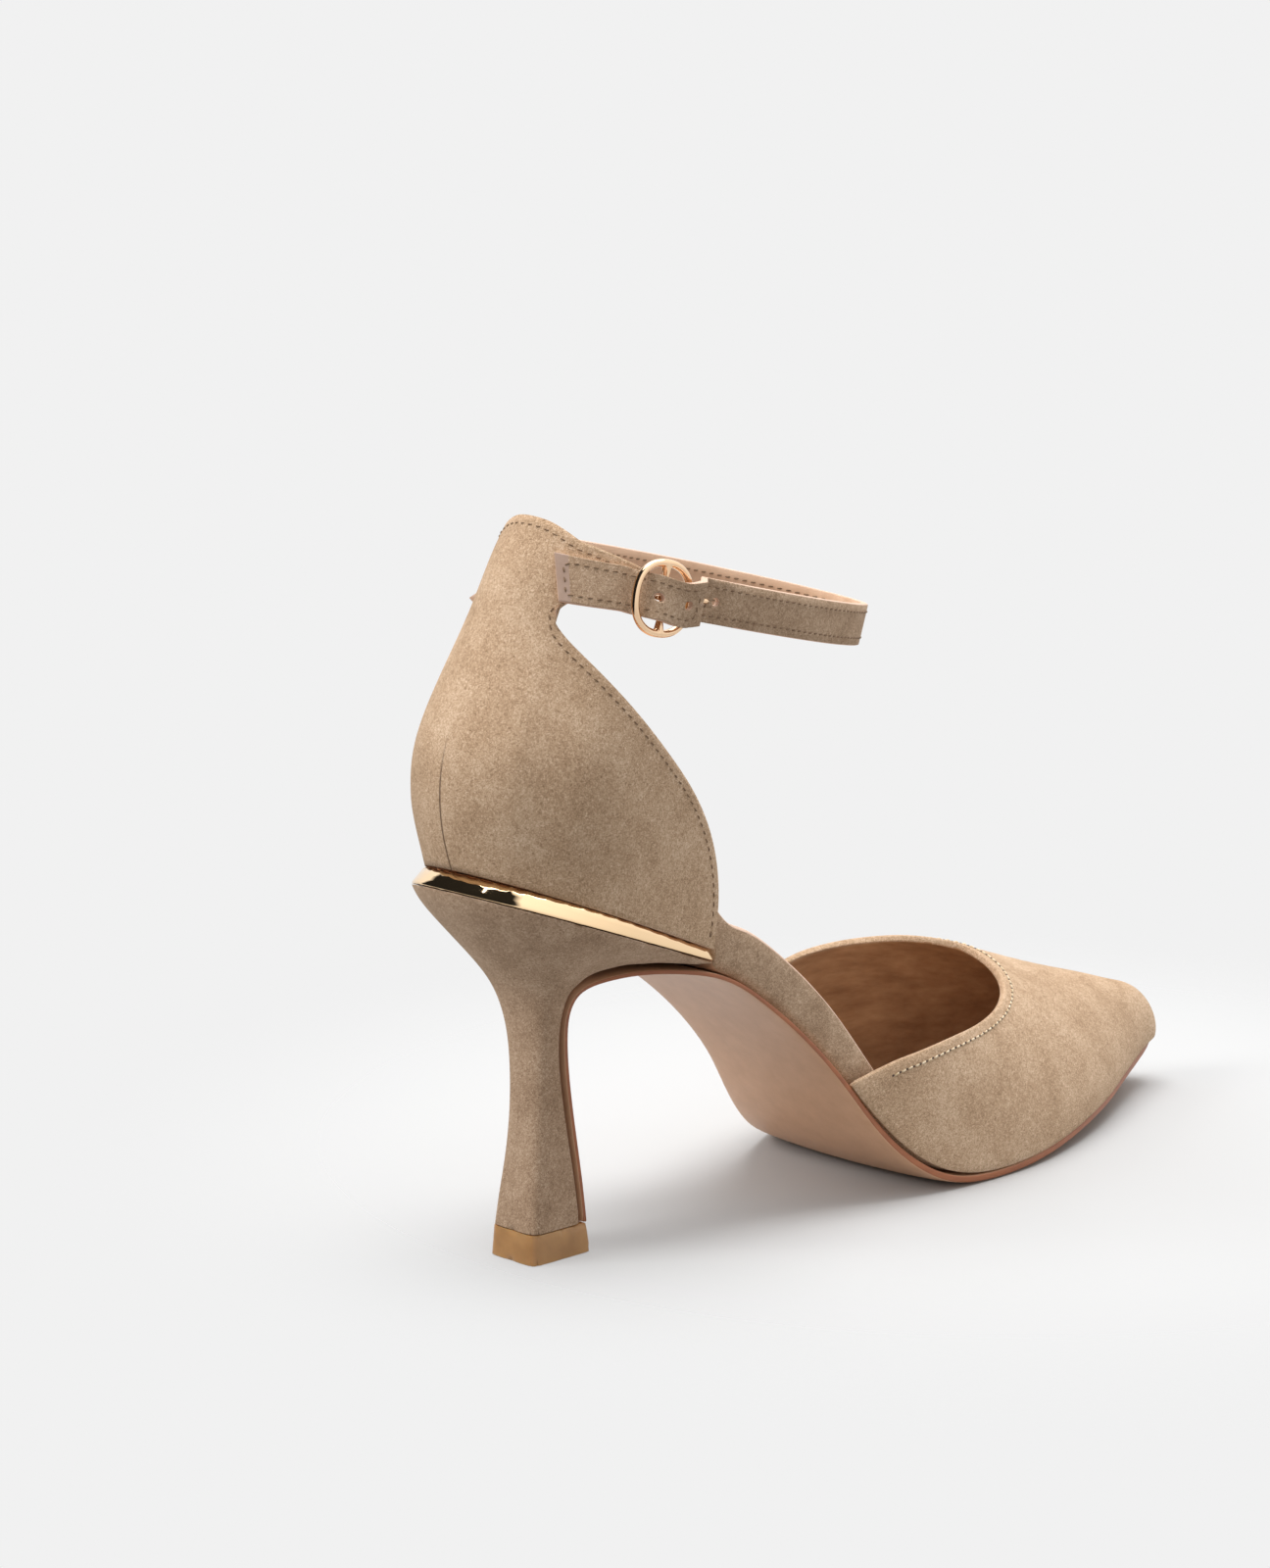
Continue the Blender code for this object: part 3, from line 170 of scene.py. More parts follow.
UPPER_TONES = ("#8E7358", "#BD9E80", "#DFC6AB")
SUEDE_UPPER = suede("Brushed taupe suede", *UPPER_TONES, spread=14.0)
SUEDE_COUNTER = suede("Brushed taupe suede with a back seam", *UPPER_TONES, spread=14.0)
SUEDE_HEEL = suede("Taupe suede stretched over the heel", "#866C56", "#AE9177", "#CFB59C",
                   spread=8.0)
SUEDE_STRAP = suede("Taupe suede strap", "#8A7059", "#B2957A", "#D5BBA1", spread=8.0)


# %% [markdown]
# ## The closed seam at the back
# The two halves of the counter meet behind the ankle in a closed seam. All that shows is a
# dark hairline that fades out upwards, so it is drawn into the counter's own suede: a mask
# is one where a point lies close to the middle plane, at the back, and low enough.

# %% Place of the back seam, in metres
MIDDLE_PLANE_Y = -0.0021
SEAM_HALF_WIDTH = 0.22 * MM
SEAM_FADES_FROM, SEAM_ENDS_AT = 0.108, 0.119
BACK_STARTS_AT, BACK_BLEND = -0.090, 0.001


# %% Draw the back seam into the suede
def draw_back_seam(material):
    tree = material.node_tree
    shader = tree.nodes["Principled BSDF"]
    suede_colour = shader.inputs["Base Color"].links[0].from_socket
    position = add_node(tree, "ShaderNodeTexCoord", {}).outputs["Object"]
    split = add_node(tree, "ShaderNodeSeparateXYZ", {}, Vector=position)
    shifted = add_node(tree, "ShaderNodeMath", {"operation": "SUBTRACT"})
    shifted.inputs[1].default_value = MIDDLE_PLANE_Y
    tree.links.new(split.outputs["Y"], shifted.inputs[0])
    beside = add_node(tree, "ShaderNodeMath", {"operation": "ABSOLUTE"})
    tree.links.new(shifted.outputs["Value"], beside.inputs[0])
    near = add_node(tree, "ShaderNodeMapRange",
                    {"From Min": SEAM_HALF_WIDTH * 0.5, "From Max": SEAM_HALF_WIDTH * 1.6,
                     "To Min": 1.0, "To Max": 0.0}, Value=beside.outputs["Value"])
    low = add_node(tree, "ShaderNodeMapRange",
                   {"From Min": SEAM_FADES_FROM, "From Max": SEAM_ENDS_AT,
                    "To Min": 0.8, "To Max": 0.0},
                   Value=split.outputs["Z"])
    back = add_node(tree, "ShaderNodeMapRange",
                    {"From Min": BACK_STARTS_AT - BACK_BLEND, "From Max": BACK_STARTS_AT,
                     "To Min": 1.0, "To Max": 0.0},
                    Value=split.outputs["X"])
    mask = near.outputs["Result"]
    for other in (low, back):
        both = add_node(tree, "ShaderNodeMath", {"operation": "MULTIPLY"})
        tree.links.new(mask, both.inputs[0])
        tree.links.new(other.outputs["Result"], both.inputs[1])
        mask = both.outputs["Value"]
    blend = add_node(tree, "ShaderNodeMix", {"data_type": "RGBA"}, Factor=mask)
    tree.links.new(suede_colour, blend.inputs[6])
    blend.inputs[7].default_value = colour("#4A3527")
    tree.links.new(blend.outputs[2], shader.inputs["Base Color"])


draw_back_seam(SUEDE_COUNTER)


# %% [markdown]
# ## Leathers and rubber
# The lining is smooth calf leather with faint creases along the hide. The sole is finished
# split leather, almost plain, with a painted edge. The top lift under the heel is a cast
# rubber that lets a little light in, so it glows like honey.


# %% Smooth leather material
def smooth_leather(name, base, darker, roughness, grain_mm, streak=1.0):
    material, tree, shader = new_material(name)
    position = add_node(tree, "ShaderNodeTexCoord", {}).outputs["Object"]
    along = add_node(tree, "ShaderNodeMapping", {}, Vector=position)
    along.inputs["Scale"].default_value = (0.22 * streak + 1.0 - streak, 1.0, 1.0)
    tone = add_node(tree, "ShaderNodeTexNoise",
                    {"Scale": per_mm(5.0), "Detail": 5.0, "Roughness": 0.65},
                    Vector=along.outputs["Vector"])
    ramp = add_node(tree, "ShaderNodeValToRGB", {}, Fac=tone.outputs["Fac"])
    stops = ramp.color_ramp.elements
    stops[0].position, stops[0].color = 0.3, colour(darker)
    stops[1].position, stops[1].color = 0.72, colour(base)
    tree.links.new(ramp.outputs["Color"], shader.inputs["Base Color"])
    pores = add_node(tree, "ShaderNodeTexVoronoi",
                     {"feature": "DISTANCE_TO_EDGE", "Scale": per_mm(grain_mm)},
                     Vector=along.outputs["Vector"])
    relief = add_node(tree, "ShaderNodeBump", {"Strength": 0.25, "Distance": 0.06 * MM},
                      Height=pores.outputs["Distance"])
    tree.links.new(relief.outputs["Normal"], shader.inputs["Normal"])
    shader.inputs["Roughness"].default_value = roughness
    return material


LINING_BROWN = smooth_leather("Tan calf lining", "#C7A582", "#967354", 0.5, 0.7)
LINING_PINK = smooth_leather("Pinkish beige calf lining", "#D6B294", "#C59F80", 0.48, 0.6)
SOLE_LEATHER = smooth_leather("Finished sole leather", "#D2A684", "#C69A78", 0.42, 0.8, 0.4)
SOLE_EDGE = smooth_leather("Painted sole edge", "#A8663F", "#8C5233", 0.45, 0.5)
CUT_EDGE = smooth_leather("Cut leather edge", "#DCBEA8", "#C7A58D", 0.7, 0.4)
END_BAND = smooth_leather("Pressed strap end", "#B79C8B", "#A98C7A", 0.6, 0.5)


# %% Rubber, gold, thread and elastic
def cast_rubber(name):
    material, tree, shader = new_material(name)
    position = add_node(tree, "ShaderNodeTexCoord", {}).outputs["Object"]
    cloud = add_node(tree, "ShaderNodeTexNoise",
                     {"Scale": per_mm(6.0), "Detail": 3.0}, Vector=position)
    ramp = add_node(tree, "ShaderNodeValToRGB", {}, Fac=cloud.outputs["Fac"])
    stops = ramp.color_ramp.elements
    stops[0].position, stops[0].color = 0.3, colour("#A87C4E")
    stops[1].position, stops[1].color = 0.7, colour("#C0925F")
    tree.links.new(ramp.outputs["Color"], shader.inputs["Base Color"])
    shader.inputs["Roughness"].default_value = 0.38
    shader.inputs["Subsurface Weight"].default_value = 0.25
    shader.inputs["Subsurface Radius"].default_value = (0.004, 0.002, 0.001)
    shader.inputs["Subsurface Scale"].default_value = 1.0
    return material


def polished_metal(name, base, roughness):
    material, tree, shader = new_material(name)
    position = add_node(tree, "ShaderNodeTexCoord", {}).outputs["Object"]
    haze = add_node(tree, "ShaderNodeTexNoise",
                    {"Scale": per_mm(3.0), "Detail": 4.0}, Vector=position)
    rub = add_node(tree, "ShaderNodeMapRange",
                   {"To Min": roughness * 0.7, "To Max": roughness * 1.4},
                   Value=haze.outputs["Fac"])
    tree.links.new(rub.outputs["Result"], shader.inputs["Roughness"])
    shader.inputs["Base Color"].default_value = colour(base)
    shader.inputs["Metallic"].default_value = 1.0
    return material


def spun_thread(name, base, darker):
    material, tree, shader = new_material(name)
    position = add_node(tree, "ShaderNodeTexCoord", {}).outputs["Object"]
    plies = add_node(tree, "ShaderNodeTexNoise",
                     {"Scale": per_mm(0.5), "Detail": 2.0}, Vector=position)
    ramp = add_node(tree, "ShaderNodeValToRGB", {}, Fac=plies.outputs["Fac"])
    stops = ramp.color_ramp.elements
    stops[0].position, stops[0].color = 0.35, colour(darker)
    stops[1].position, stops[1].color = 0.65, colour(base)
    tree.links.new(ramp.outputs["Color"], shader.inputs["Base Color"])
    shader.inputs["Roughness"].default_value = 0.75
    return material


TOP_LIFT = cast_rubber("Honey cast rubber")
GOLD = polished_metal("Pale gold plate", "#F0D0A6", 0.05)
ROSE_GOLD = polished_metal("Pale rose gold wire", "#F0CDA8", 0.07)
# The taupe thread is drawn darker than the suede it matches: painted shade of the recess each
# stitch sinks into.
TAUPE_THREAD_PAINTED_SHADE = spun_thread("Taupe thread darkened by painted shade", "#8E7358", "#6E563F")
THREAD_LIGHT = spun_thread("Cream thread", "#F0E2C8", "#CDB690")
# Dark dots of painted shadow, laid where the vamp's needle holes would be shaded
NEEDLE_HOLE_SHADOW = spun_thread("Shadow in the needle holes", "#5A4636", "#43342A")
ELASTIC = spun_thread("Cream and gold elastic", "#E0C79A", "#A8875A")

# %% [markdown]
# ## From faceted solids to soft leather
# Each solid is faceted and made of loose triangles. A copy is welded, its triangles are
# joined into quads, the real corners are creased, and a subdivision surface rounds the
# rest. The crease is a little less than full, so corners come out as the small round that
# folded leather has.


# %% Copy, weld and round a solid
def rounded_copy(node_name, piece_name, levels=2, corner_degrees=42.0, crease=0.85,
                 flat_degrees=None):
    mesh = frame["nodes"][node_name].data.copy()
    mesh.materials.clear()
    piece = bpy.data.objects.new(piece_name, mesh)
    bpy.context.scene.collection.objects.link(piece)
    select_only(piece)
    bpy.ops.object.mode_set(mode="EDIT")
    bpy.ops.mesh.select_all(action="SELECT")
    bpy.ops.mesh.remove_doubles(threshold=0.004 * MM)
    bpy.ops.mesh.tris_convert_to_quads(face_threshold=math.radians(30.0),
                                       shape_threshold=math.radians(60.0))
    if flat_degrees:
        bpy.ops.mesh.dissolve_limited(angle_limit=math.radians(flat_degrees))
    bpy.ops.mesh.select_all(action="DESELECT")
    bpy.ops.mesh.select_mode(type="EDGE")
    bpy.ops.mesh.edges_select_sharp(sharpness=math.radians(corner_degrees))
    bpy.ops.transform.edge_crease(value=crease)
    bpy.ops.object.mode_set(mode="OBJECT")
    if levels:
        smooth = piece.modifiers.new("Round", "SUBSURF")
        smooth.levels = smooth.render_levels = levels
    return piece


def swell(piece, by):
    """Fatten a copy by a hair, so that leather meets leather with no dark slit."""
    select_only(piece)
    bpy.ops.object.mode_set(mode="EDIT")
    bpy.ops.mesh.select_all(action="SELECT")
    bpy.ops.transform.shrink_fatten(value=by * MM)
    bpy.ops.object.mode_set(mode="OBJECT")


def apply_rounding(piece):
    select_only(piece)
    for modifier in list(piece.modifiers):
        bpy.ops.object.modifier_apply(modifier=modifier.name)
    bpy.ops.object.shade_smooth_by_angle(angle=math.radians(50.0))
    print(piece.name, "faces:", len(piece.data.polygons))


def dress(piece, materials, rule):
    """Give each face the material whose place in the list the rule returns."""
    for material in materials:
        piece.data.materials.append(material)
    for face in piece.data.polygons:
        face.material_index = rule(face)


def finish_piece(piece, slot, *nodes):
    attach(piece, "root")
    if nodes:
        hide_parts(*nodes)


# %% [markdown]
# ## Which side of the wall is it?
# A wall has an outer face, an inner face and a narrow rim, and each wears another material.
# A short ray tells them apart: sent from a face into the leather, it leaves after the
# wall's thickness, except on the rim, where it runs on along the wall.

# %% Tell outer, inner and rim faces apart
OUTER, INNER, RIM = 0, 1, 2


def wall_sides(piece, inside_of, thickest=2.6):
    mesh = piece.data
    tree = BVHTree.FromPolygons([v.co for v in mesh.vertices],
                                [tuple(p.vertices) for p in mesh.polygons])
    sides = []
    for face in mesh.polygons:
        start = face.center - face.normal * 0.02 * MM
        hit, _, _, distance = tree.ray_cast(start, -face.normal)
        if hit is None or distance > thickest * MM:
            sides.append(RIM)
        elif face.normal.dot(face.center - inside_of(face.center)) > 0:
            sides.append(OUTER)
        else:
            sides.append(INNER)
    return sides


# %% [markdown]
# ## The counter
# The back of the shoe is one piece of suede over a stiffener, lined with pinkish leather. Its
# front edge sweeps down each side to the seat, and two wings at the top carry the strap.


# %% Counter
def heel_axis(point):
    return Vector((-0.088, -0.002, point.z))


counter = rounded_copy("counter", "counter_upper", corner_degrees=36.0, crease=0.9)
swell(counter, 0.12)
apply_rounding(counter)
counter_sides = wall_sides(counter, heel_axis)
dress(counter, (SUEDE_COUNTER, LINING_PINK, CUT_EDGE), lambda face: counter_sides[face.index])

# %% [markdown]
# ## The vamp
# The vamp covers the toes. It is lasted, which means pulled over a wooden last and tucked
# under, so it has no seam but its top line, where the suede is turned over the tan lining.


# %% Vamp
def toe_axis(point):
    return Vector((0.02 + (point.x - 0.02) * 0.8, 0.004, 0.010))


vamp = rounded_copy("vamp", "vamp_upper")
swell(vamp, 0.15)
apply_rounding(vamp)
vamp_sides = wall_sides(vamp, toe_axis)
dress(vamp, (SUEDE_UPPER, LINING_BROWN, SUEDE_UPPER), lambda face: vamp_sides[face.index])

# %% [markdown]
# ## The ankle strap
# Suede outside, pinkish lining inside, with a raw cut edge between them. The free end is
# pressed flat, which shows as a narrow greyer band.

# %% Ankle strap
strap_low, strap_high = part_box("ankle_strap")
strap_middle = (strap_low + strap_high) / 2


def ankle_axis(point):
    return Vector((strap_middle.x, strap_middle.y, point.z))


strap = rounded_copy("ankle_strap", "ankle_strap_suede")
apply_rounding(strap)
strap_sides = wall_sides(strap, ankle_axis, thickest=2.1)

# The free end's cap: the rearmost upright rim faces on the outer side
END_BAND_WIDTH = 2.8 * MM
STRAP_REACH = 14 * MM
tail_cap = [f for f in strap.data.polygons if strap_sides[f.index] == RIM
            and abs(f.normal.z) < 0.5 and f.center.y < 0.0]
tail_x = min(f.center.x for f in tail_cap)
tail_cap = [f for f in tail_cap if f.center.x < tail_x + 3.0 * MM]
tail_middle = sum((f.center for f in tail_cap), Vector()) / len(tail_cap)
tail_out = sum((f.normal for f in tail_cap), Vector()).normalized()


def strap_finish(face):
    """Outer, inner and rim finish, with the pressed band on the outer side of the free end."""
    behind = tail_middle - face.center
    pressed = behind.dot(tail_out) < END_BAND_WIDTH and behind.length < STRAP_REACH
    return 3 if pressed and strap_sides[face.index] == OUTER else strap_sides[face.index]


dress(strap, (SUEDE_STRAP, LINING_PINK, CUT_EDGE, END_BAND), strap_finish)

# %% [markdown]
# ## Finding the line of a seam
# A machinist sews at a fixed distance from the edge. The outer faces of a wall end in a
# chain of edges. The chain is walked from end to end, and each of its points is moved into
# the panel by the sewing distance and laid back on the surface.


# %% Border of the outer faces, as ordered points
def border_chains(piece, sides, wanted=OUTER, keep=lambda middle, normal: True):
    """Chains of (point, surface normal, way into the panel) along a side's border."""
    builder = bmesh.new()
    builder.from_mesh(piece.data)
    builder.faces.ensure_lookup_table()
    links = {}
    for edge in builder.edges:
        inside = [f for f in edge.link_faces if sides[f.index] == wanted]
        beyond = [f for f in edge.link_faces if sides[f.index] != wanted]
        if len(inside) == 1 and len(beyond) == 1:
            middle = (edge.verts[0].co + edge.verts[1].co) / 2
            if keep(middle, beyond[0].normal):
                for a, b in (edge.verts, reversed(edge.verts)):
                    links.setdefault(a, []).append((b, inside[0]))
    chains, seen = [], set()
    starts = sorted(links, key=lambda v: (len(links[v]) != 1, v.index))
    for start in starts:
        if start in seen:
            continue
        chain, here = [], start
        while here is not None and here not in seen:
            seen.add(here)
            face = links[here][0][1]
            chain.append((here.co.copy(), face.normal.copy(),
                          face.calc_center_median() - here.co))
            here = next((v for v, _ in links[here] if v not in seen), None)
        chains.append(chain)
    builder.free()
    return sorted(chains, key=len, reverse=True)


# %% How a seam follows its edge
WALKING_STEP = 0.6 * MM
LONGEST_JUMP = 4.0 * MM
SHORTEST_RUN = 8
SHORTEST_CHAIN = 40
CLEAR_OF_EDGE = 0.8


# %% Move the border into the panel and walk it at the stitch pitch
def resample(points, pitch):
    lengths = [0.0]
    for a, b in zip(points, points[1:]):
        lengths.append(lengths[-1] + (b - a).length)
    count = max(int(lengths[-1] / pitch), 1)
    walked, k = [], 0
    for i in range(count + 1):
        wanted = lengths[-1] * i / count
        while k < len(lengths) - 2 and lengths[k + 1] < wanted:
            k += 1
        span = max(lengths[k + 1] - lengths[k], 1e-9)
        walked.append(points[k].lerp(points[k + 1], (wanted - lengths[k]) / span))
    return walked


def seam_line(piece, chain, distance, pitch, outer_tree):
    """Lines of (place, normal) that run distance in from a chain; a jump starts a new one."""
    fine = resample([c[0] for c in chain], WALKING_STEP)
    corners = [c[0] for c in chain]
    moved, runs = [], []
    for i, point in enumerate(fine):
        ahead = fine[min(i + 3, len(fine) - 1)] - fine[max(i - 3, 0)]
        nearest = min(range(len(corners)), key=lambda k: (corners[k] - point).length)
        normal, inward = chain[nearest][1], chain[nearest][2]
        across = normal.cross(ahead).normalized()
        if across.dot(inward) < 0:
            across.negate()
        place = outer_tree.find_nearest(point + across * distance)[0]
        if min((place - p).length for p in fine) > distance * CLEAR_OF_EDGE:
            if moved and (place - moved[-1]).length > LONGEST_JUMP:
                runs.append(moved)
                moved = []
            moved.append(place)
    lines = []
    for run in [r for r in runs + [moved] if len(r) > SHORTEST_RUN]:
        smooth = [sum(run[max(i - 2, 0):i + 3], Vector()) / len(run[max(i - 2, 0):i + 3])
                  for i in range(len(run))]
        lines.append([outer_tree.find_nearest(place)[:2] for place in resample(smooth, pitch)])
    return lines


def side_tree(piece, sides, wanted=OUTER):
    polygons = [tuple(p.vertices) for p in piece.data.polygons if sides[p.index] == wanted]
    return BVHTree.FromPolygons([v.co for v in piece.data.vertices], polygons)


# %% [markdown]
# ## One stitch, many times
# A lockstitch is a short piece of thread that dives into the leather at both ends. One is
# modelled from a small sphere, then copied along the seam and joined into one piece.


# %% Model the stitch
def stitch_mesh(length, width):
    bpy.ops.object.select_all(action="DESELECT")
    bpy.ops.mesh.primitive_uv_sphere_add(segments=8, ring_count=6, radius=0.5)
    seed = bpy.context.active_object
    seed.data.transform(Matrix.Rotation(math.radians(90.0), 4, "Y"))
    for vert in seed.data.vertices:
        squared = math.copysign(abs(vert.co.x * 2) ** 0.6, vert.co.x) / 2
        vert.co = Vector((squared * length, vert.co.y * width, vert.co.z * width * 0.8))
        vert.co.z -= abs(squared) ** 2 * width * 1.2
    mesh = seed.data
    bpy.data.objects.remove(seed)
    return mesh


def sew(name, lines, length, width, thread, proud=0.12, slant=8.0, at_ends=False):
    """Lay a stitch at every step of each seam line, or a dot between the stitches."""
    seed = stitch_mesh(length, width)
    builder = bmesh.new()
    total = 0
    for line in lines:
        for (a, normal_a), (b, normal_b) in zip(line, line[1:]):
            along = (b - a).normalized()
            up = (normal_a + normal_b).normalized()
            side = up.cross(along).normalized()
            up = along.cross(side)
            turn = Matrix((along, side, up)).transposed().to_4x4()
            turn = turn @ Matrix.Rotation(math.radians(slant), 4, "Z")
            middle = (a if at_ends else (a + b) / 2) + up * proud * MM
            copy = seed.copy()
            copy.transform(Matrix.Translation(middle) @ turn)
            builder.from_mesh(copy)
            bpy.data.meshes.remove(copy)
            total += 1
    mesh = bpy.data.meshes.new(name)
    builder.to_mesh(mesh)
    builder.free()
    bpy.data.meshes.remove(seed)
    row = bpy.data.objects.new(name, mesh)
    bpy.context.scene.collection.objects.link(row)
    row.data.materials.append(thread)
    select_only(row)
    bpy.ops.object.shade_smooth()
    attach(row, "root")
    print(name, "stitches:", total)


# %% [markdown]
# ## Sewing the three panels
# The counter is sewn round its whole free edge, the vamp along its top line and the strap
# round its outline. The seat edges carry no stitches, nor do the short notches under the
# wings, where thread would stand out past the edge. The taupe thread is drawn darker, as
# painted shade of the recess it sinks into. The vamp's row is cream, and dots of painted
# shadow at its needle holes make it show on the pale suede.

# %% Seam lines of counter, vamp and strap
STITCH_PITCH = 2.1 * MM
STITCH_LENGTH = 1.2 * MM
STITCH_WIDTH = 0.36 * MM
CREAM_STITCH_LENGTH = 1.35 * MM
CREAM_STITCH_WIDTH = 0.5 * MM
NEEDLE_HOLE_SHADOW_LENGTH = 0.75 * MM
STRAP_SEAM = 1.6
NOTCH_LOW = Vector((-1.0, -0.0145, -1.0))
NOTCH_HIGH = Vector((-0.09, 0.018, 0.151))


def free_counter_edge(middle, normal):
    in_notch = all(low < here < high
                   for low, here, high in zip(NOTCH_LOW, middle, NOTCH_HIGH))
    return (middle.z > 0.1 or normal.z > -0.5) and not in_notch


def free_vamp_edge(middle, normal):
    return normal.z > -0.3 and middle.x < 0.07


seams = []
for piece, sides, keep, distance in (
        # panel, its sides, edges that are sewn, distance from the edge in mm
        (counter, counter_sides, free_counter_edge, 2.0),
        (vamp, vamp_sides, free_vamp_edge, 2.4),
        (strap, strap_sides, lambda middle, normal: True, STRAP_SEAM)):
    tree = side_tree(piece, sides)
    chains = [c for c in border_chains(piece, sides, OUTER, keep)
              if len(c) > SHORTEST_CHAIN]
    print(piece.name, "chains:", [len(c) for c in chains])
    seams.append([line for c in chains
                  for line in seam_line(piece, c, distance * MM, STITCH_PITCH, tree)])

# %% Sew them
# These dark taupe rows carry painted shade of their stitch recesses
sew("counter_stitches", seams[0], STITCH_LENGTH, STITCH_WIDTH, TAUPE_THREAD_PAINTED_SHADE)
sew("vamp_stitches", seams[1], CREAM_STITCH_LENGTH, CREAM_STITCH_WIDTH, THREAD_LIGHT,
    proud=0.2)
# A dot of painted shadow at each needle hole
sew("vamp_needle_hole_shadows", seams[1], NEEDLE_HOLE_SHADOW_LENGTH, CREAM_STITCH_WIDTH, NEEDLE_HOLE_SHADOW,
    proud=0.06, at_ends=True)
sew("strap_stitches", seams[2], STITCH_LENGTH, STITCH_WIDTH, TAUPE_THREAD_PAINTED_SHADE)
inner_tree = side_tree(strap, strap_sides, INNER)
inner_chains = [c for c in border_chains(strap, strap_sides, INNER)
                if len(c) > SHORTEST_CHAIN]
inner_lines = [line for c in inner_chains
               for line in seam_line(strap, c, STRAP_SEAM * MM, STITCH_PITCH, inner_tree)]
sew("strap_lining_stitches", inner_lines, STITCH_LENGTH, STITCH_WIDTH, TAUPE_THREAD_PAINTED_SHADE)

# %% Place the three panels
for piece, node in ((counter, "counter"), (vamp, "vamp"), (strap, "ankle_strap")):
    finish_piece(piece, "suede", node)

# %% [markdown]
# ## Heel, seat plate and top lift
# The heel is a plastic core wrapped in suede. Between it and the counter lies a bevelled
# metal plate polished like a mirror, and under its foot the rubber top lift.

# %% A piece that wears one finish all over
def whole_piece(node, name, finish, slot, fatter=0.0, **rounding):
    piece = rounded_copy(node, name, **rounding)
    if fatter:
        swell(piece, fatter)
    dress(piece, (finish,), lambda face: 0)
    apply_rounding(piece)
    finish_piece(piece, slot, node)


# %% Heel, plate and top lift
whole_piece("heel", "heel_cover", SUEDE_HEEL, "suede", fatter=0.1)
whole_piece("seat_plate", "seat_plate_gold", GOLD, "gold", fatter=0.08, crease=0.95,
            corner_degrees=20.0, flat_degrees=0.6)
whole_piece("top_lift", "top_lift_rubber", TOP_LIFT, "top_lift_rubber", crease=0.8)

# %% [markdown]
# ## Sole and insole
# The outsole is thin leather, bare underneath, with a painted edge. The insole carries the
# sock lining, and at the open waist its rims are wrapped in suede up to a raw edge.

# %% Outsole
sole = rounded_copy("outsole", "outsole_leather")
swell(sole, 0.14)


def sole_finish(face):
    return 1 if abs(face.normal.y) > 0.6 or face.normal.x > 0.8 else 0


dress(sole, (SOLE_LEATHER, SOLE_EDGE), sole_finish)
apply_rounding(sole)
finish_piece(sole, "sole_leather", "outsole")

# %% Insole
insole = rounded_copy("insole", "insole_sock")


def insole_finish(face):
    outward = face.normal.y * math.copysign(1.0, face.center.y + 0.002)
    if outward > 0.85:
        return 1
    return 2 if outward > 0.25 else 0


dress(insole, (LINING_PINK, SUEDE_STRAP, CUT_EDGE), insole_finish)
apply_rounding(insole)
finish_piece(insole, "suede", "insole")

# %% [markdown]
# ## The buckle
# A round-cornered wire frame with a bar, its prong, and the gathered elastic behind it.

# %% Buckle frame, prong and elastic
whole_piece("buckle_frame", "buckle_ring", ROSE_GOLD, "gold", fatter=0.2, levels=1,
            corner_degrees=60.0)
whole_piece("buckle_prong", "buckle_pin", ROSE_GOLD, "gold", fatter=0.14, corner_degrees=60.0)
whole_piece("buckle_elastic", "elastic_tab", ELASTIC, "elastic", corner_degrees=60.0)

# %% [markdown]
# ## Floor and light
# A pale floor takes the soft shadow under the ball of the foot, and fades to the plain
# backdrop around it, so that no horizon shows. A broad light hangs overhead, a smaller one
# over the toe, and one stands on the left. What polished metal mirrors decides how it looks,
# so mirrored rays see a brighter studio with a black flag high on the left.

# %% Floor
BACKDROP = "#F1F1F1"
FLOOR_GREY = 0.53
UNDER_THE_BALL = (0.05, 0.0, 0.0)
bpy.ops.object.select_all(action="DESELECT")
bpy.ops.mesh.primitive_circle_add(vertices=96, radius=0.9, fill_type="NGON",
                                  location=(0.0, 0.0, -0.0002))
floor = bpy.context.active_object
floor.name = "studio_floor"
floor_material, floor_tree, floor_shader = new_material("Pale studio floor")
floor_shader.inputs["Base Color"].default_value = (FLOOR_GREY, FLOOR_GREY, FLOOR_GREY, 1.0)
floor_shader.inputs["Roughness"].default_value = 1.0
floor_shader.inputs["Specular IOR Level"].default_value = 0.0
floor.data.materials.append(floor_material)

# %% Fade the floor into the backdrop
place = add_node(floor_tree, "ShaderNodeTexCoord", {}).outputs["Object"]
far = add_node(floor_tree, "ShaderNodeVectorMath", {"operation": "DISTANCE"})
floor_tree.links.new(place, far.inputs[0])
far.inputs[1].default_value = UNDER_THE_BALL
fade = add_node(floor_tree, "ShaderNodeMapRange",
                {"From Min": 0.07, "From Max": 0.22, "To Min": 1.0, "To Max": 0.0,
                 "interpolation_type": "SMOOTHSTEP"}, Value=far.outputs["Value"])
floor_tree.links.new(fade.outputs["Result"], floor_shader.inputs["Alpha"])

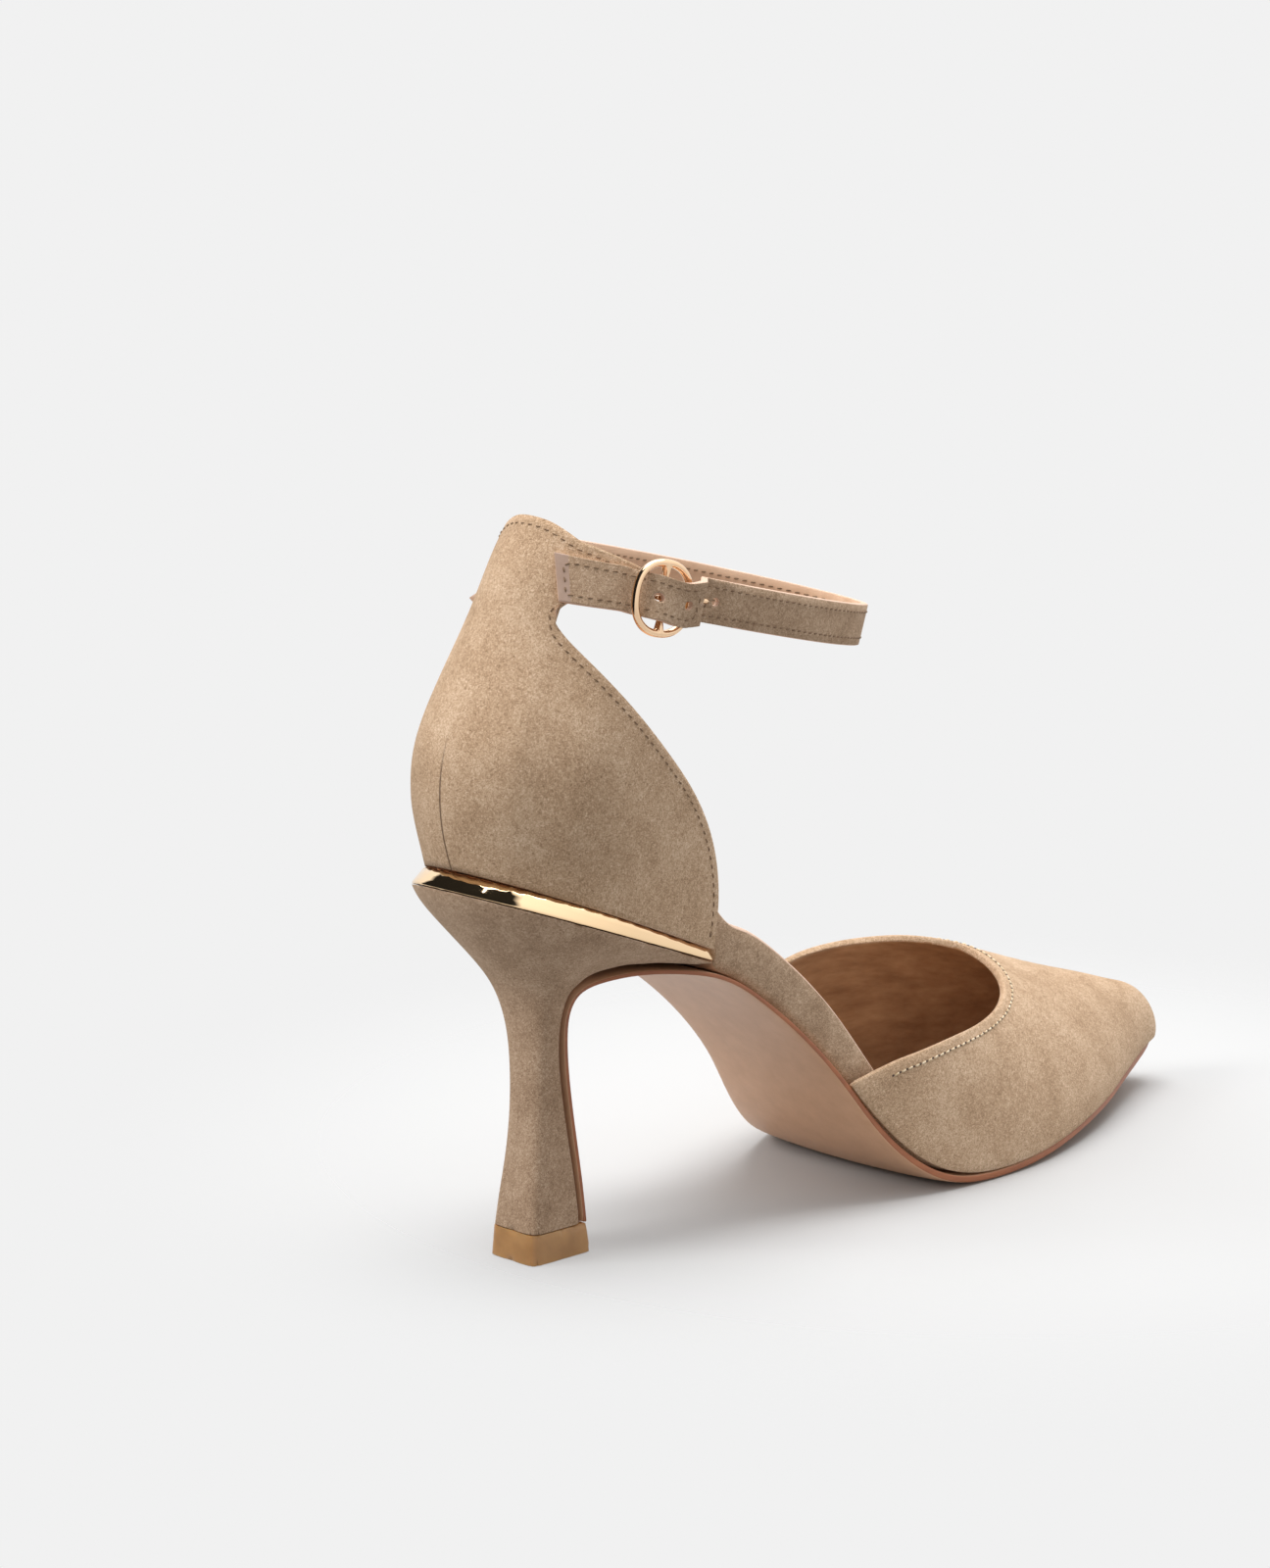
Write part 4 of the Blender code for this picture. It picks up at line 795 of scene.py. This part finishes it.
# %% Sky that the camera sees as the plain backdrop
world = bpy.data.worlds.new("Studio")
bpy.context.scene.world = world
world.use_nodes = True
sky = world.node_tree
sky.nodes.clear()
direction = add_node(sky, "ShaderNodeTexCoord", {})
split = add_node(sky, "ShaderNodeSeparateXYZ", {}, Vector=direction.outputs["Generated"])
ramp = add_node(sky, "ShaderNodeMapRange",
                {"From Min": -0.3, "From Max": 1.0, "To Min": 0.40, "To Max": 0.78},
                Value=split.outputs["Z"])
FLAG_DIRECTION = (-0.80, 0.36, 0.48)
near_flag = add_node(sky, "ShaderNodeVectorMath", {"operation": "DOT_PRODUCT"})
sky.links.new(direction.outputs["Generated"], near_flag.inputs[0])
near_flag.inputs[1].default_value = FLAG_DIRECTION
flag = add_node(sky, "ShaderNodeMapRange",
                {"From Min": 0.42, "From Max": 0.50, "To Min": 2.0, "To Max": 0.03},
                Value=near_flag.outputs["Value"])
mirrored = add_node(sky, "ShaderNodeMath", {"operation": "MULTIPLY"})
sky.links.new(ramp.outputs["Result"], mirrored.inputs[0])
sky.links.new(flag.outputs["Result"], mirrored.inputs[1])
ray = add_node(sky, "ShaderNodeLightPath", {})
level = add_node(sky, "ShaderNodeMix", {"data_type": "FLOAT"},
                 Factor=ray.outputs["Is Glossy Ray"])
sky.links.new(ramp.outputs["Result"], level.inputs[2])
sky.links.new(mirrored.outputs["Value"], level.inputs[3])
light = add_node(sky, "ShaderNodeBackground", {"Color": (1.0, 1.0, 1.0, 1.0)},
                 Strength=level.outputs[0])
plain = add_node(sky, "ShaderNodeBackground", {"Color": colour(BACKDROP), "Strength": 1.0})
choice = add_node(sky, "ShaderNodeMixShader", {}, Fac=ray.outputs["Is Camera Ray"])
sky.links.new(light.outputs["Background"], choice.inputs[1])
sky.links.new(plain.outputs["Background"], choice.inputs[2])
output = add_node(sky, "ShaderNodeOutputWorld", {}, Surface=choice.outputs["Shader"])


# %% Lights
def soft_light(name, place, aim, size, power):
    data = bpy.data.lights.new(name, "AREA")
    data.shape = "SQUARE"
    data.size = size
    data.energy = power
    lamp = bpy.data.objects.new(name, data)
    lamp.location = place
    lamp.rotation_euler = (Vector(aim) - Vector(place)).to_track_quat("-Z", "Y").to_euler()
    bpy.context.scene.collection.objects.link(lamp)
    return lamp


soft_light("overhead", (0.12, 0.10, 1.1), (0.02, 0.0, 0.05), 0.8, 10.5)
soft_light("over_the_toe", (0.45, -0.10, 0.9), (0.10, 0.0, 0.02), 0.4, 2.4)
side_light = soft_light("from_the_left", (-0.85, 0.35, 0.65), (0.0, 0.0, 0.08), 0.5, 5.5)
side_light.visible_glossy = False

# %% [markdown]
# ## Camera
# A long lens from behind the heel on the outer side, a little above the shoe.

# %% Camera
AZIMUTH, ELEVATION = math.radians(-43.99), math.radians(10.77)
AIM = Vector((-0.0630, -0.0021, 0.1001))
DISTANCE = 0.854
away = Vector((math.sin(AZIMUTH) * math.cos(ELEVATION),
               -math.cos(AZIMUTH) * math.cos(ELEVATION), math.sin(ELEVATION)))
camera_data = bpy.data.cameras.new("camera")
camera_data.sensor_width = 36.0
camera_data.lens = 89.8
camera_data.clip_start = 0.01
camera = bpy.data.objects.new("camera", camera_data)
camera.location = AIM + away * DISTANCE
camera.rotation_euler = away.to_track_quat("Z", "Y").to_euler()
bpy.context.scene.collection.objects.link(camera)
bpy.context.scene.camera = camera
bpy.context.scene.view_settings.view_transform = "Standard"
